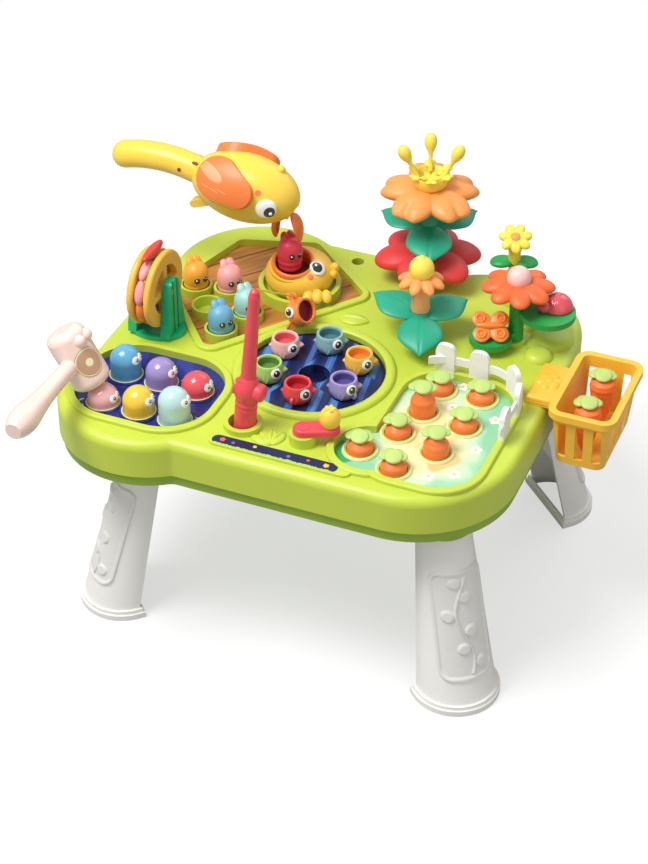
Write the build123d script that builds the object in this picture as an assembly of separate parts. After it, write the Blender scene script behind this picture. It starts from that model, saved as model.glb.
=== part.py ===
from build123d import *
import math
import os

# A toddler's activity table: a green two-part case on four white legs, with a turning fish pond,
# pop-up moles, carrots to pull, worms in cups, a beak gripper, a spinning wheel, stacking flowers
# and a hanging basket.
# Millimetres, +Z up, origin on the floor in the middle of the four legs.

# Table case
TOP_Z = 240.0
SHELL_HEIGHT = 38.0
TRAY_HEIGHT = 12.0
TRAY_STEP = 3.0
TRAY_FLOOR = 3.0
PLATE = 8.0
WALL = 2.6
EDGE_ROUND = 9.0
LOBE_BLEND = 10.0
POCKET_DEPTH = 5.0
PANEL = 1.5
BORDER_WIDTH = 7.0
BORDER_RISE = 4.0
BORDER_ROUND = 2.0
LABEL_MIDDLE = (5.0, -170.0)
LABEL_SIZE = (140.0, 16.0)
LABEL_RISE = 2.5
FACING_TURN = 22.0

# Outline of the case: a middle block and a round lobe over each leg
MIDDLE_LEFT = -230.0
MIDDLE_RIGHT = 208.0
MIDDLE_FRONT = -190.0
BACK_MARGIN = 23.0
MIDDLE_ROUND = 100.0
MOLE_LOBE = (-150.0, -118.0)
MOLE_LOBE_RADIUS = 90.0
DECK_LOBE = (-138.0, 112.0)
DECK_LOBE_RADIUS = 90.0
FLOWER_LOBE = (108.0, 106.0)
FLOWER_LOBE_RADIUS = 96.0
CARROT_LOBE = (112.0, -95.0)
CARROT_LOBE_RADIUS = 92.0

# Clearances
LIFT_GAP = 0.3
TURN_GAP = 0.06
SEAT_GAP = 0.2

# Legs: half-round tubes, flat side inwards, splayed out to a stepped foot
LEG_FOOT = (177.0, 151.0)
LEG_HEAD = (150.0, 128.0)
LEG_FOOT_RADIUS = 39.0
LEG_HEAD_RADIUS = 26.0
LEG_WALL = 3.0
FOOT_RIM = 4.5
FOOT_RIM_HEIGHT = 6.0
FOOT_STEP = 2.5
FOOT_STEP_HEIGHT = 4.0
SOCKET_DEPTH = 12.0
SOCKET_WALL = 4.0
LEG_BACK = 4.0
CORNERS = {"front_left": (-1, -1), "front_right": (1, -1), "back_left": (-1, 1), "back_right": (1, 1)}

# Case screws, driven up through the tray into bosses of the shell
SCREW_PLACES = [(-205.0, 0.0), (-30.0, 172.0), (80.0, 150.0), (194.0, -30.0), (62.0, -172.0), (-75.0, -170.0)]
SCREW_RADIUS = 1.5
SCREW_LENGTH = 16.0
SCREW_HEAD_RADIUS = 3.0
SCREW_HEAD_HEIGHT = 2.0
BOSS_RADIUS = 5.0

# Worm deck: plank floor, five cups, the chick in its nest
DECK_CORNERS = [(-207.0, 48.0), (-129.0, -42.0), (-19.0, 104.0), (-100.0, 176.0), (-178.0, 152.0)]
DECK_ROUND = 9.0
WORM_NAMES = ["orange_worm", "pink_worm", "blue_worm", "mint_worm"]
WORM_CUPS = [(-184.0, 55.0), (-150.0, 63.0), (-128.0, -7.0), (-116.0, 29.0)]
EMPTY_CUP = (-157.0, 25.0)
CUP_RADIUS = 16.5
CUP_BORE = 14.0
CUP_RISE = 11.0
WORM_BASE_RADIUS = 12.5
WORM_HEAD_RADIUS = 13.3
WORM_HEIGHT = 37.0
EAR_LENGTH = 9.0
EAR_RADIUS = 4.0
EAR_SPREAD = 5.4
EAR_SPLAY = 8.0

NEST = (-87.0, 95.0)
NEST_RADIUS = 42.0
NEST_WALL = 5.0
NEST_FLOOR = 6.0
NEST_RISE = 14.0
NEST_TOES = [(-64.0, 63.0), (-53.0, 75.0)]
NEST_TOE_RADIUS = 7.5
CHICK_RADIUS = 35.0
CHICK_HALF_HEIGHT = 24.0
CHICK_TUFT_RADIUS = 5.0
CHICK_TUFT_RISE = 8.0
CHICK_TUFT_TURN = 18.0
TOE_RADIUS = 6.5
MOUTH = (-89.0, 84.0, 277.0)
MOUTH_RADIUS = 21.0
MOUTH_WALL = 3.2
MOUTH_DEPTH = 22.0
MOUTH_TILT = 15.0
MOUTH_FLOOR_Z = 268.0

# Beak gripper: a yellow bird with a tail handle, held over the chick so that its beak grips a worm
BIRD_AXIS_Y = 85.0
BIRD_CENTRE = (-140.0, 352.0)
BIRD_HALF_LENGTH = 57.0
BIRD_RADIUS = 34.0
BIRD_NOD = 6.0
HANDLE_RADIUS = 14.0
HANDLE_START = (-178.0, 355.0)
HANDLE_MIDDLE = (-227.0, 366.0)
HANDLE_END = (-271.0, 361.0)
WING_CENTRE = (-160.0, 354.0)
WING_TIP = (-136.0, 343.0)
WING_RADIUS = 22.0
WING_TIP_RADIUS = 15.0
WING_RAISE = 35.0
WING_THICKNESS = 8.0
BEAK_PIVOT = (-93.0, 333.0)
BEAK_PIN_RADIUS = 2.5
KNUCKLE_WALL = 2.2
BEAK_WIDTH = 15.0
BEAK_THICKNESS = 5.0
BEAK_LENGTH = 27.0
BEAK_OPEN = 18.0
TRIGGER_PIVOT = (-166.0, 333.0)
TRIGGER_WIDTH = 10.0
TRIGGER_LENGTH = 36.0
TRIGGER_THICKNESS = 8.0
TRIGGER_RAKE = 20.0

# Fish pond: a turntable with six wells, driven by the crank through a pair of gears
POND = (-17.0, -35.0)
POND_RADIUS = 68.6
POND_GAP = 0.6
POND_DROP = 2.0
POND_PLATE = 6.0
POND_LIP_WIDTH = 10.0
POND_LIP_RISE = 5.0
POND_PIT_RADIUS = 15.0
POND_PIT_DEPTH = 10.0
WELL_RING = 44.0
WELL_DEPTH = 3.0
WELL_START = 32.0
POST_RADIUS = 10.0
POST_COLLAR_RADIUS = 16.0
HUB_RADIUS = 18.0
HUB_FOOT_Z = 205.0
POND_TEETH = 40
CRANK_TEETH = 20
GEAR_FACE = 8.0
GEAR_LOW_Z = 217.0
GEAR_SKIRT = 6.0
FISH_NAMES = ["yellow_fish", "teal_fish", "pink_fish", "green_fish", "red_fish", "purple_fish"]
FISH_BASE_RADIUS = 9.5
FISH_BELLY_RADIUS = 14.3
FISH_MOUTH_RADIUS = 12.8
FISH_LIP = 2.2
FISH_MOUTH_DEPTH = 9.0
FISH_HEIGHT = 22.0

# Crank
CRANK = (16.0, -141.0)
CRANK_PEDESTAL_RADIUS = 13.0
CRANK_PEDESTAL_RISE = 11.0
CRANK_SHAFT_RADIUS = 4.0
CRANK_ARM_REACH = 25.0
CRANK_ARM_WIDTH = 19.0
CRANK_ARM_THICKNESS = 7.0
CRANK_ARM_TURN = 25.0
CRANK_BEARING_RADIUS = 8.0
CRANK_BEARING_Z = 212.0
KNOB_RADIUS = 10.0
KNOB_HEIGHT = 20.0

# Fishing rod with its line and the hooked fish
ROD = (-45.0, -140.0)
ROD_LEAN = 5.0
ROD_LENGTH = 178.0
ROD_GRIP_RADIUS = 10.5
ROD_TIP_RADIUS = 5.0
ROD_SOCKET_RADIUS = 18.5
ROD_SOCKET_BORE = 13.6
ROD_SOCKET_RISE = 6.0
ROD_SOCKET_DEPTH = 23.0
REEL_HEIGHT = 66.0
REEL_RADIUS = 8.0
REEL_WIDTH = 24.0
LINE_RADIUS = 0.9
HOOKED_FISH = (-60.0, 29.0)
HOOKED_TILT = 62.0
HOOKED_TURN = -15.0
FISH_RING_RADIUS = 3.2
FISH_RING_WIRE = 1.1

# Mole pond: six sprung moles in two rows
MOLE_POND = (-151.0, -119.0)
MOLE_POND_SIZE = (137.0, 117.0)
MOLE_POND_ROUND = 46.0
MOLE_MIDDLE = (-146.5, -128.0)
MOLE_PITCH = 37.5
MOLE_ROW_PITCH = 49.0
MOLE_NAMES = ["pink_mole", "yellow_mole", "mint_mole", "blue_mole", "purple_mole", "red_mole"]
MOLE_DROPS = [16.0, 9.0, 0.0, 4.0, 9.0, 15.0]
MOLE_RADIUS = 15.0
MOLE_RISE = 37.0
MOLE_FLANGE = 2.3
MOLE_FLANGE_HEIGHT = 3.0
MOLE_RING_RADIUS = 18.3
MOLE_RING_RISE = 2.0
SPRING_RADIUS = 8.0
SPRING_WALL = 1.2

# Hammer, resting on the pink mole
HAMMER_LEAN = 30.0
HAMMER_RADIUS = 19.5
HAMMER_LENGTH = 62.0
HAMMER_ROUND = 9.0
HAMMER_GRIP_RADIUS = 10.0
HAMMER_GRIP_LENGTH = 112.0
HAMMER_KNOB_RADIUS = 13.0
HAMMER_EAR_RADIUS = 6.0

# Carrot patch and fence
PATCH_MIDDLE = (127.0, -78.5)
PATCH_SIZE = (110.0, 173.0)
PATCH_ROUND = 40.0
PATCH_BAY_SHARE = (-0.8909, -0.6069)
PATCH_BAY_RADIUS = 33.0
CARROT_SHARES = [
    (-1.0727, -0.5838), (-0.6545, -0.1561), (-0.4727, 0.2948), (-0.4182, 0.7572),
    (0.3273, 0.7688), (0.3273, 0.2139), (0.1273, -0.3295), (-0.3636, -0.7688),
]
CARROT_RISES = [12.0, 12.0, 26.0, 12.0, 12.0, 12.0, 20.0, 12.0]
CARROT_MARGIN = 3.056
CARROT_RING_WALL = 4.0
CARROT_RING_RISE = 1.5
CARROT_LEAF_SHARE = 0.4706
CARROT_LEAF_THICKNESS = 5.0
FENCE_LINE = 3.5
FENCE_THICKNESS = 2.6
FENCE_START = (86.0, -82.0)
PICKET_HEIGHT = 30.0
PICKET_WIDTH = 19.0
PICKET_PLACES = [(100.0, 90.0), (134.0, 90.0)]
PICKET_ANGLES = [46.0, 8.0]
PICKET_SIDE_Y = [-66.0]
RAIL_HEIGHT = 8.0
RAIL_LOW = 9.0

# Spinning sandwich wheel on its stand
WHEEL = (-189.0, -26.0, 290.0)
WHEEL_RADIUS = 39.0
WHEEL_BORE = 25.0
BUN_THICKNESS = 7.0
BUN_GAP = 11.0
BUN_ROUND = 3.2
SPOKE_WIDTH = 7.0
AXLE_RADIUS = 4.0
FILLING_RADIUS = 5.4
FILLING_RING = 33.5
FILLING_COUNT = 9
SAUSAGE_RADIUS = 5.2
SAUSAGE_REACH = 46.0
STAND_BASE = (30.0, 21.0)
STAND_BASE_RISE = 5.0
POST_FOOT_DEPTH = 38.0
POST_HEAD_DEPTH = 17.0
STAND_POST_THICKNESS = 9.0
STAND_POST_TOP = 12.0
GROOVE_WIDTH = 3.0
GROOVE_DEPTH = 1.6

# Flowers
PEG_RADIUS = 5.0
PEG_BORE = 5.2
PEG_LENGTH = 7.0
PEG_BORE_DEPTH = 7.5
STALK_RADIUS = 8.0
TALL_STACK = (25.0, 165.0)
TALL_STACK_PEDESTAL = 10.0
PETAL_COUNT = 6
RED_PETAL_RADIUS = 22.0
RED_PETAL_REACH = 33.0
RED_FLOWER_RISE = 8.0
PETAL_THICKNESS = 12.0
PETAL_ROUND = 4.5
RED_STALK = 22.0
LEAF_LENGTH = 58.0
LEAF_WIDTH = 34.0
LEAF_THICKNESS = 7.0
LEAF_RING_RISE = 6.0
LEAF_STALK = 20.0
PEACH_PETAL_RADIUS = 20.5
PEACH_PETAL_REACH = 30.5
PEACH_FLOWER_RISE = 3.0
PEACH_STALK = 4.0
STAMEN_CUP_RADIUS = 18.5
STAMEN_CUP_HEIGHT = 22.0
STAMEN_RADIUS = 2.6
STAMEN_LENGTH = 42.0
STAMEN_LEANS = [33.0, 43.0, 43.0]
STAMEN_TURNS = [90.0, 178.0, 2.0]
STAMEN_BALL_RADIUS = 5.0
BUD_OFFSET = (32.0, -109.0)
BUD_PEDESTAL = 6.0
TRIO_LEAF_LENGTH = 50.0
TRIO_LEAF_WIDTH = 32.0
TRIO_RISE = 12.0
TRIO_STALK = 10.0
BUD_STALK_LENGTH = 32.0
BUD_PETAL_RADIUS = 9.0
BUD_PETAL_REACH = 14.5
BUD_THICKNESS = 8.0
BUD_BALL_RADIUS = 13.0
GARDEN_STEM = (145.0, 88.0)
GARDEN_PEDESTAL = 4.0
GARDEN_STEM_RADIUS = 6.5
GARDEN_STEM_TOP_Z = 300.0
LADY_LEAF = (176.0, 88.0)
LADY_LEAF_RADIUS = 27.0
LADY_LEAF_Z = 278.0
FLY_LEAF = (126.0, 68.0)
FLY_LEAF_RADIUS = 21.0
FLY_LEAF_Z = 249.0
PERCH_THICKNESS = 6.0
BUG_RADIUS = 16.5
BUG_HEIGHT = 14.0
FLY_WING_RADIUS = 9.0
FLY_BODY_RADIUS = 4.0
DAISY_PETAL_RADIUS = 12.5
DAISY_PETAL_REACH = 23.0
DAISY_THICKNESS = 9.0
DAISY_COUNT = 6
DAISY_BALL_RADIUS = 12.5
BACK_FLOWER = (120.0, 152.0)
BACK_STEM_RADIUS = 5.5
BACK_FLOWER_Z = 322.0
BACK_PETAL_RADIUS = 6.5
BACK_PETAL_REACH = 10.5
BACK_LEAF_RADIUS = 13.0
BACK_LEAF_Z = 286.0
EMPTY_PEG_HOLE = (-51.0, 164.0)
EMPTY_PEG_RADIUS = 6.5

# Basket hung on the right edge
BASKET_MIDDLE = (246.0, 25.0)
BASKET_SIZE = (66.0, 112.0)
BASKET_ROUND = 14.0
BASKET_TOP_Z = 254.0
BASKET_HEIGHT = 60.0
BASKET_WALL = 2.6
BASKET_TAPER = 5.0
BASKET_RIM = 4.0
BASKET_RIM_HEIGHT = 7.0
SLOT_WIDTH = 8.0
SLOT_PITCH = 17.0
HOOK_START_X = 186.0
HOOK_LENGTH = 62.0
HOOK_THICKNESS = 4.0
TONGUE_THICKNESS = 4.0
TONGUE_DEPTH = 14.0
LOOSE_CARROT_OFFSET = 24.0
LOOSE_CARROT_RISE = 8.0

# Levels worked out from the sizes above
SEAM_Z = TOP_Z - SHELL_HEIGHT
TRAY_Z = SEAM_Z - TRAY_HEIGHT
INSIDE_Z = TRAY_Z + TRAY_FLOOR
PLATE_Z = TOP_Z - PLATE
FLOOR_Z = TOP_Z - POCKET_DEPTH
PANEL_Z = FLOOR_Z + PANEL
BORDER_Z = TOP_Z + BORDER_RISE
POND_Z = TOP_Z - POND_DROP
GEAR_HIGH_Z = GEAR_LOW_Z + GEAR_FACE
PEDESTAL_Z = TOP_Z + CRANK_PEDESTAL_RISE
SOCKET_Z = TRAY_Z - SOCKET_DEPTH
FOOT_TOP_Z = FOOT_RIM_HEIGHT + FOOT_STEP_HEIGHT
RED_FLOWER_Z = TOP_Z + TALL_STACK_PEDESTAL
RED_HEIGHT = RED_FLOWER_RISE + PETAL_THICKNESS + RED_STALK
LEAF_RING_Z = RED_FLOWER_Z + RED_HEIGHT
LEAF_RING_HEIGHT = LEAF_RING_RISE + LEAF_THICKNESS + LEAF_STALK
PEACH_Z = LEAF_RING_Z + LEAF_RING_HEIGHT
PEACH_HEIGHT = PEACH_FLOWER_RISE + PETAL_THICKNESS + PEACH_STALK
STAMEN_Z = PEACH_Z + PEACH_HEIGHT
TRIO_Z = TOP_Z + BUD_PEDESTAL
TRIO_HEIGHT = TRIO_RISE + LEAF_THICKNESS + TRIO_STALK
BUD_Z = TRIO_Z + TRIO_HEIGHT
BUD_STACK = (TALL_STACK[0] + BUD_OFFSET[0], TALL_STACK[1] + BUD_OFFSET[1])
MIDDLE_BACK = max(TALL_STACK[1], EMPTY_PEG_HOLE[1]) + BACK_MARGIN
STEM_Z = TOP_Z + GARDEN_PEDESTAL
CARROT_DEPTH = PANEL_Z - INSIDE_Z - LIFT_GAP
KNUCKLE = BEAK_PIN_RADIUS + KNUCKLE_WALL
JAW_INNER = EAR_SPREAD * math.cos(math.radians(FACING_TURN)) + EAR_RADIUS * 1.03 + LIFT_GAP
JAW_OUTER = JAW_INNER + BEAK_THICKNESS
PATCH_BAY = (
    PATCH_MIDDLE[0] + PATCH_BAY_SHARE[0] * PATCH_SIZE[0] / 2,
    PATCH_MIDDLE[1] + PATCH_BAY_SHARE[1] * PATCH_SIZE[1] / 2,
)
CARROT_PLACES = [
    (PATCH_MIDDLE[0] + across * PATCH_SIZE[0] / 2, PATCH_MIDDLE[1] + along * PATCH_SIZE[1] / 2)
    for across, along in CARROT_SHARES
]
CARROT_SPACING = min(
    math.dist(one, other) for one in CARROT_PLACES for other in CARROT_PLACES if one != other
)
CARROT_RING_RADIUS = CARROT_SPACING / 2 - CARROT_MARGIN
CARROT_RADIUS = CARROT_RING_RADIUS - CARROT_RING_WALL
CARROT_LEAF_RADIUS = CARROT_RING_RADIUS * CARROT_LEAF_SHARE
UP = (Align.CENTER, Align.CENTER, Align.MIN)
DOWN = (Align.CENTER, Align.CENTER, Align.MAX)
NODES = {}


def raised(sketch, low, high):
    return extrude(Pos(0, 0, low) * sketch, amount=high - low)


def round_post(place, radius, low, high):
    return Pos(place[0], place[1], low) * Cylinder(radius, high - low, align=UP)


def ring(place, outer, inner, low, high):
    return round_post(place, outer, low, high) - round_post(place, inner, low, high)


def turned(points, smooth=True):
    """A body of revolution about Z from (radius, height) points, bottom first."""
    if smooth:
        side = Spline(*points)
    else:
        side = Polyline(*points)
    bottom = points[0]
    top = points[-1]
    loop = [side]
    if top[0] > 0:
        loop.append(Line(top, (0, top[1])))
    loop.append(Line((0, top[1]), (0, bottom[1])))
    if bottom[0] > 0:
        loop.append(Line((0, bottom[1]), bottom))
    return revolve(Plane.XZ * make_face(loop), Axis.Z)


def spheroid(half_length, radius):
    """An egg-like ellipsoid of revolution, long axis on Z."""
    half = Ellipse(radius, half_length) & Pos(radius, 0) * Rectangle(2 * radius, 4 * half_length)
    return revolve(Plane.XZ * half, Axis.Z)


def dome(height, radius):
    """The upper half of a flattened ball, its flat side on Z = 0."""
    steps = [math.radians(15 * index) for index in range(6)]
    side = [(radius * math.cos(step), height * math.sin(step)) for step in steps]
    return turned(side + [(0, height)])


def polar(place, reach, degrees):
    turn = math.radians(degrees)
    return (place[0] + reach * math.cos(turn), place[1] + reach * math.sin(turn))


def keep(name, shape):
    NODES[name] = shape


# Outlines seen from above
def case_outline():
    middle = Pos((MIDDLE_LEFT + MIDDLE_RIGHT) / 2, (MIDDLE_FRONT + MIDDLE_BACK) / 2) * RectangleRounded(
        MIDDLE_RIGHT - MIDDLE_LEFT, MIDDLE_BACK - MIDDLE_FRONT, MIDDLE_ROUND
    )
    shape = middle
    shape += Pos(*MOLE_LOBE) * Circle(MOLE_LOBE_RADIUS)
    shape += Pos(*DECK_LOBE) * Circle(DECK_LOBE_RADIUS)
    shape += Pos(*FLOWER_LOBE) * Circle(FLOWER_LOBE_RADIUS)
    shape += Pos(*CARROT_LOBE) * Circle(CARROT_LOBE_RADIUS)
    shape = offset(shape, amount=LOBE_BLEND, kind=Kind.ARC)
    return offset(shape, amount=-LOBE_BLEND, kind=Kind.ARC)


def deck_outline():
    corners = Polygon(*DECK_CORNERS, align=None)
    return fillet(corners.vertices(), DECK_ROUND)


def mole_pond_outline():
    return Pos(*MOLE_POND) * RectangleRounded(MOLE_POND_SIZE[0], MOLE_POND_SIZE[1], MOLE_POND_ROUND)


def patch_outline():
    bed = Pos(*PATCH_MIDDLE) * RectangleRounded(PATCH_SIZE[0], PATCH_SIZE[1], PATCH_ROUND)
    return bed + Pos(*PATCH_BAY) * Circle(PATCH_BAY_RADIUS)


def mole_places():
    places = []
    for row in (-1, 1):
        for column in (-1, 0, 1):
            x = MOLE_MIDDLE[0] + column * MOLE_PITCH
            y = MOLE_MIDDLE[1] + row * MOLE_ROW_PITCH / 2
            places.append((x, y))
    return places


def stack_pedestals():
    return [
        (TALL_STACK, TALL_STACK_PEDESTAL),
        (BUD_STACK, BUD_PEDESTAL),
        (GARDEN_STEM, GARDEN_PEDESTAL),
        (BACK_FLOWER, GARDEN_PEDESTAL),
    ]


# Half-round leg section, its flat side across the diagonal
def leg_frame(corner, place, height):
    along = Vector(corner[0], corner[1], 0).normalized()
    across = Vector(0, 0, 1).cross(along) * -1
    origin = (corner[0] * place[0], corner[1] * place[1], height)
    return Plane(origin=origin, x_dir=across, z_dir=(0, 0, 1))


def leg_section(radius, back):
    half = Circle(radius) & Pos(0, radius) * Rectangle(2 * radius, 2 * radius)
    if back > 0:
        half += Pos(0, -back / 2) * Rectangle(2 * radius, back)
    return half


def make_leg(corner):
    foot = leg_frame(corner, LEG_FOOT, 0)
    foot_top = leg_frame(corner, LEG_FOOT, FOOT_TOP_Z)
    head = leg_frame(corner, LEG_HEAD, SOCKET_Z)
    shank = loft([
        foot_top * leg_section(LEG_FOOT_RADIUS, LEG_BACK),
        head * leg_section(LEG_HEAD_RADIUS, LEG_BACK),
    ])
    spigot = extrude(head * leg_section(LEG_HEAD_RADIUS - SEAT_GAP, LEG_BACK), amount=SOCKET_DEPTH)
    rim = extrude(foot * leg_section(LEG_FOOT_RADIUS + FOOT_RIM, LEG_BACK + FOOT_RIM), amount=FOOT_RIM_HEIGHT)
    step = extrude(foot * leg_section(LEG_FOOT_RADIUS + FOOT_STEP, LEG_BACK + FOOT_STEP), amount=FOOT_TOP_Z)
    leg = shank + spigot + rim + step
    low = leg_frame(corner, LEG_FOOT, -1)
    high = leg_frame(corner, LEG_HEAD, SOCKET_Z - LEG_WALL)
    core = loft([
        low * leg_section(LEG_FOOT_RADIUS - LEG_WALL, LEG_BACK - LEG_WALL / 2),
        high * leg_section(LEG_HEAD_RADIUS - LEG_WALL, LEG_BACK - LEG_WALL / 2),
    ])
    return leg - core


# Case
def make_top_shell():
    outline = case_outline()
    shell = raised(outline, SEAM_Z, TOP_Z)
    shell = fillet(shell.edges().group_by(Axis.Z)[-1], EDGE_ROUND)
    shell -= raised(offset(outline, amount=-WALL), SEAM_Z - 1, PLATE_Z)
    for pocket in (deck_outline(), mole_pond_outline(), patch_outline()):
        border = raised(offset(pocket, amount=BORDER_WIDTH), TOP_Z - 1, BORDER_Z)
        border = fillet(border.edges().group_by(Axis.Z)[-1], BORDER_ROUND)
        shell += border
        shell -= raised(pocket, FLOOR_Z, BORDER_Z + 1)
    opening = POND_RADIUS + POND_GAP
    lip = ring(POND, opening + POND_LIP_WIDTH, opening - 1, TOP_Z - 1, TOP_Z + POND_LIP_RISE)
    lip = fillet(lip.edges().group_by(Axis.Z)[-1], POND_LIP_WIDTH * 0.45)
    shell += lip
    shell -= round_post(POND, opening, PLATE_Z - 1, TOP_Z + POND_LIP_RISE + 1)
    for place in WORM_CUPS + [EMPTY_CUP]:
        shell += ring(place, CUP_RADIUS, CUP_BORE, FLOOR_Z, FLOOR_Z + CUP_RISE)
    shell += round_post(NEST, NEST_RADIUS, FLOOR_Z, FLOOR_Z + NEST_RISE)
    for place in NEST_TOES:
        shell += round_post(place, NEST_TOE_RADIUS, FLOOR_Z, FLOOR_Z + NEST_FLOOR)
    shell -= round_post(NEST, NEST_RADIUS - NEST_WALL, FLOOR_Z + NEST_FLOOR, FLOOR_Z + NEST_RISE + 1)
    shell += label_plate()
    shell += round_post(CRANK, CRANK_PEDESTAL_RADIUS, TOP_Z - 1, PEDESTAL_Z - LIFT_GAP)
    shell -= round_post(CRANK, CRANK_SHAFT_RADIUS + TURN_GAP, PLATE_Z - 1, PEDESTAL_Z + 1)
    shell += round_post(ROD, ROD_SOCKET_RADIUS, TOP_Z - 1, TOP_Z + ROD_SOCKET_RISE)
    shell += round_post(ROD, ROD_SOCKET_BORE + WALL, rod_floor() - WALL, PLATE_Z + 1)
    shell -= round_post(ROD, ROD_SOCKET_BORE, rod_floor(), TOP_Z + ROD_SOCKET_RISE + 1)
    for place in mole_places():
        shell += round_post(place, MOLE_RING_RADIUS, FLOOR_Z, PANEL_Z + MOLE_RING_RISE)
        shell -= round_post(place, MOLE_RADIUS + LIFT_GAP, PLATE_Z - 1, PANEL_Z + MOLE_RING_RISE + 1)
    for place in CARROT_PLACES:
        shell += round_post(place, CARROT_RING_RADIUS, FLOOR_Z, PANEL_Z + CARROT_RING_RISE)
        shell -= round_post(place, CARROT_RADIUS + LIFT_GAP, PLATE_Z - 1, PANEL_Z + CARROT_RING_RISE + 1)
    for place, rise in stack_pedestals():
        shell += round_post(place, STALK_RADIUS + WALL, TOP_Z - 1, TOP_Z + rise)
        shell -= round_post(place, PEG_BORE, PLATE_Z - 1, TOP_Z + rise + 1)
    shell -= round_post(EMPTY_PEG_HOLE, EMPTY_PEG_RADIUS, PLATE_Z - 1, TOP_Z + 1)
    shell -= hook_tongue(LIFT_GAP, PLATE_Z - 1)
    for place in SCREW_PLACES:
        shell += ring(place, BOSS_RADIUS, SCREW_RADIUS, INSIDE_Z, PLATE_Z + 1)
    return shell


def label_plate():
    strip = Pos(*LABEL_MIDDLE) * RectangleRounded(LABEL_SIZE[0], LABEL_SIZE[1], LABEL_SIZE[1] * 0.45)
    return raised(strip, TOP_Z - 1, TOP_Z + LABEL_RISE)


def rod_floor():
    return TOP_Z - ROD_SOCKET_DEPTH


def hook_tongue(gap, low):
    width = TONGUE_THICKNESS + 2 * gap
    length = HOOK_LENGTH - 2 * BASKET_ROUND + 2 * gap
    x = HOOK_START_X + TONGUE_THICKNESS
    strip = Pos(x, BASKET_MIDDLE[1]) * Rectangle(width, length)
    return raised(strip, low, TOP_Z + HOOK_THICKNESS / 2)


def make_tray():
    outline = offset(case_outline(), amount=-TRAY_STEP)
    tray = raised(outline, TRAY_Z, SEAM_Z)
    tray -= raised(offset(outline, amount=-WALL), INSIDE_Z, SEAM_Z + 1)
    for corner in CORNERS.values():
        socket = leg_frame(corner, LEG_HEAD, SOCKET_Z)
        outside = leg_section(LEG_HEAD_RADIUS + SOCKET_WALL, LEG_BACK + SOCKET_WALL)
        inside = leg_section(LEG_HEAD_RADIUS, LEG_BACK + SEAT_GAP)
        tray += extrude(socket * (outside - inside), amount=SOCKET_DEPTH)
    tray += round_post(POND, POST_COLLAR_RADIUS, TRAY_Z + 1, HUB_FOOT_Z)
    tray += round_post(POND, POST_RADIUS, TRAY_Z + 1, POND_Z - POND_PIT_DEPTH - WALL - LIFT_GAP)
    tray += round_post(CRANK, CRANK_BEARING_RADIUS, TRAY_Z + 1, CRANK_BEARING_Z)
    tray -= round_post(CRANK, CRANK_SHAFT_RADIUS + TURN_GAP, INSIDE_Z, CRANK_BEARING_Z + 1)
    for place in SCREW_PLACES:
        tray -= round_post(place, SCREW_RADIUS + SEAT_GAP, TRAY_Z - 1, INSIDE_Z + 1)
    return tray


def make_screws():
    screws = []
    for place in SCREW_PLACES:
        head = round_post(place, SCREW_HEAD_RADIUS, TRAY_Z - SCREW_HEAD_HEIGHT, TRAY_Z)
        shank = round_post(place, SCREW_RADIUS, TRAY_Z - SCREW_HEAD_HEIGHT, TRAY_Z + SCREW_LENGTH)
        slot = Box(SCREW_HEAD_RADIUS, SCREW_RADIUS / 2, SCREW_RADIUS)
        screws.append(head + shank - Pos(place[0], place[1], TRAY_Z - SCREW_HEAD_HEIGHT) * slot)
    return Compound(children=screws)


def make_deck_panel():
    panel = raised(offset(deck_outline(), amount=-SEAT_GAP), FLOOR_Z, PANEL_Z)
    for place in WORM_CUPS + [EMPTY_CUP]:
        panel -= round_post(place, CUP_RADIUS + SEAT_GAP, FLOOR_Z - 1, PANEL_Z + 1)
    for place in NEST_TOES:
        panel -= round_post(place, NEST_TOE_RADIUS + SEAT_GAP, FLOOR_Z - 1, PANEL_Z + 1)
    return panel - round_post(NEST, NEST_RADIUS + SEAT_GAP, FLOOR_Z - 1, PANEL_Z + 1)


def make_mole_panel():
    panel = raised(offset(mole_pond_outline(), amount=-SEAT_GAP), FLOOR_Z, PANEL_Z)
    for place in mole_places():
        panel -= round_post(place, MOLE_RING_RADIUS + SEAT_GAP, FLOOR_Z - 1, PANEL_Z + 1)
    return panel


def make_patch_panel():
    panel = raised(offset(patch_outline(), amount=-SEAT_GAP), FLOOR_Z, PANEL_Z)
    for place in CARROT_PLACES:
        panel -= round_post(place, CARROT_RING_RADIUS + SEAT_GAP, FLOOR_Z - 1, PANEL_Z + 1)
    return panel


# Fence: two rails along the patch border, with pickets standing on it
def picket(place, facing):
    blank = Pos(0, PICKET_HEIGHT / 2) * Rectangle(PICKET_WIDTH, PICKET_HEIGHT)
    blank = fillet(blank.vertices().group_by(Axis.Y)[-1], PICKET_WIDTH * 0.42)
    board = extrude(Plane.XZ * blank, amount=FENCE_THICKNESS, both=True)
    return Pos(place[0], place[1], BORDER_Z) * Rot(0, 0, facing - 90) * board


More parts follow.
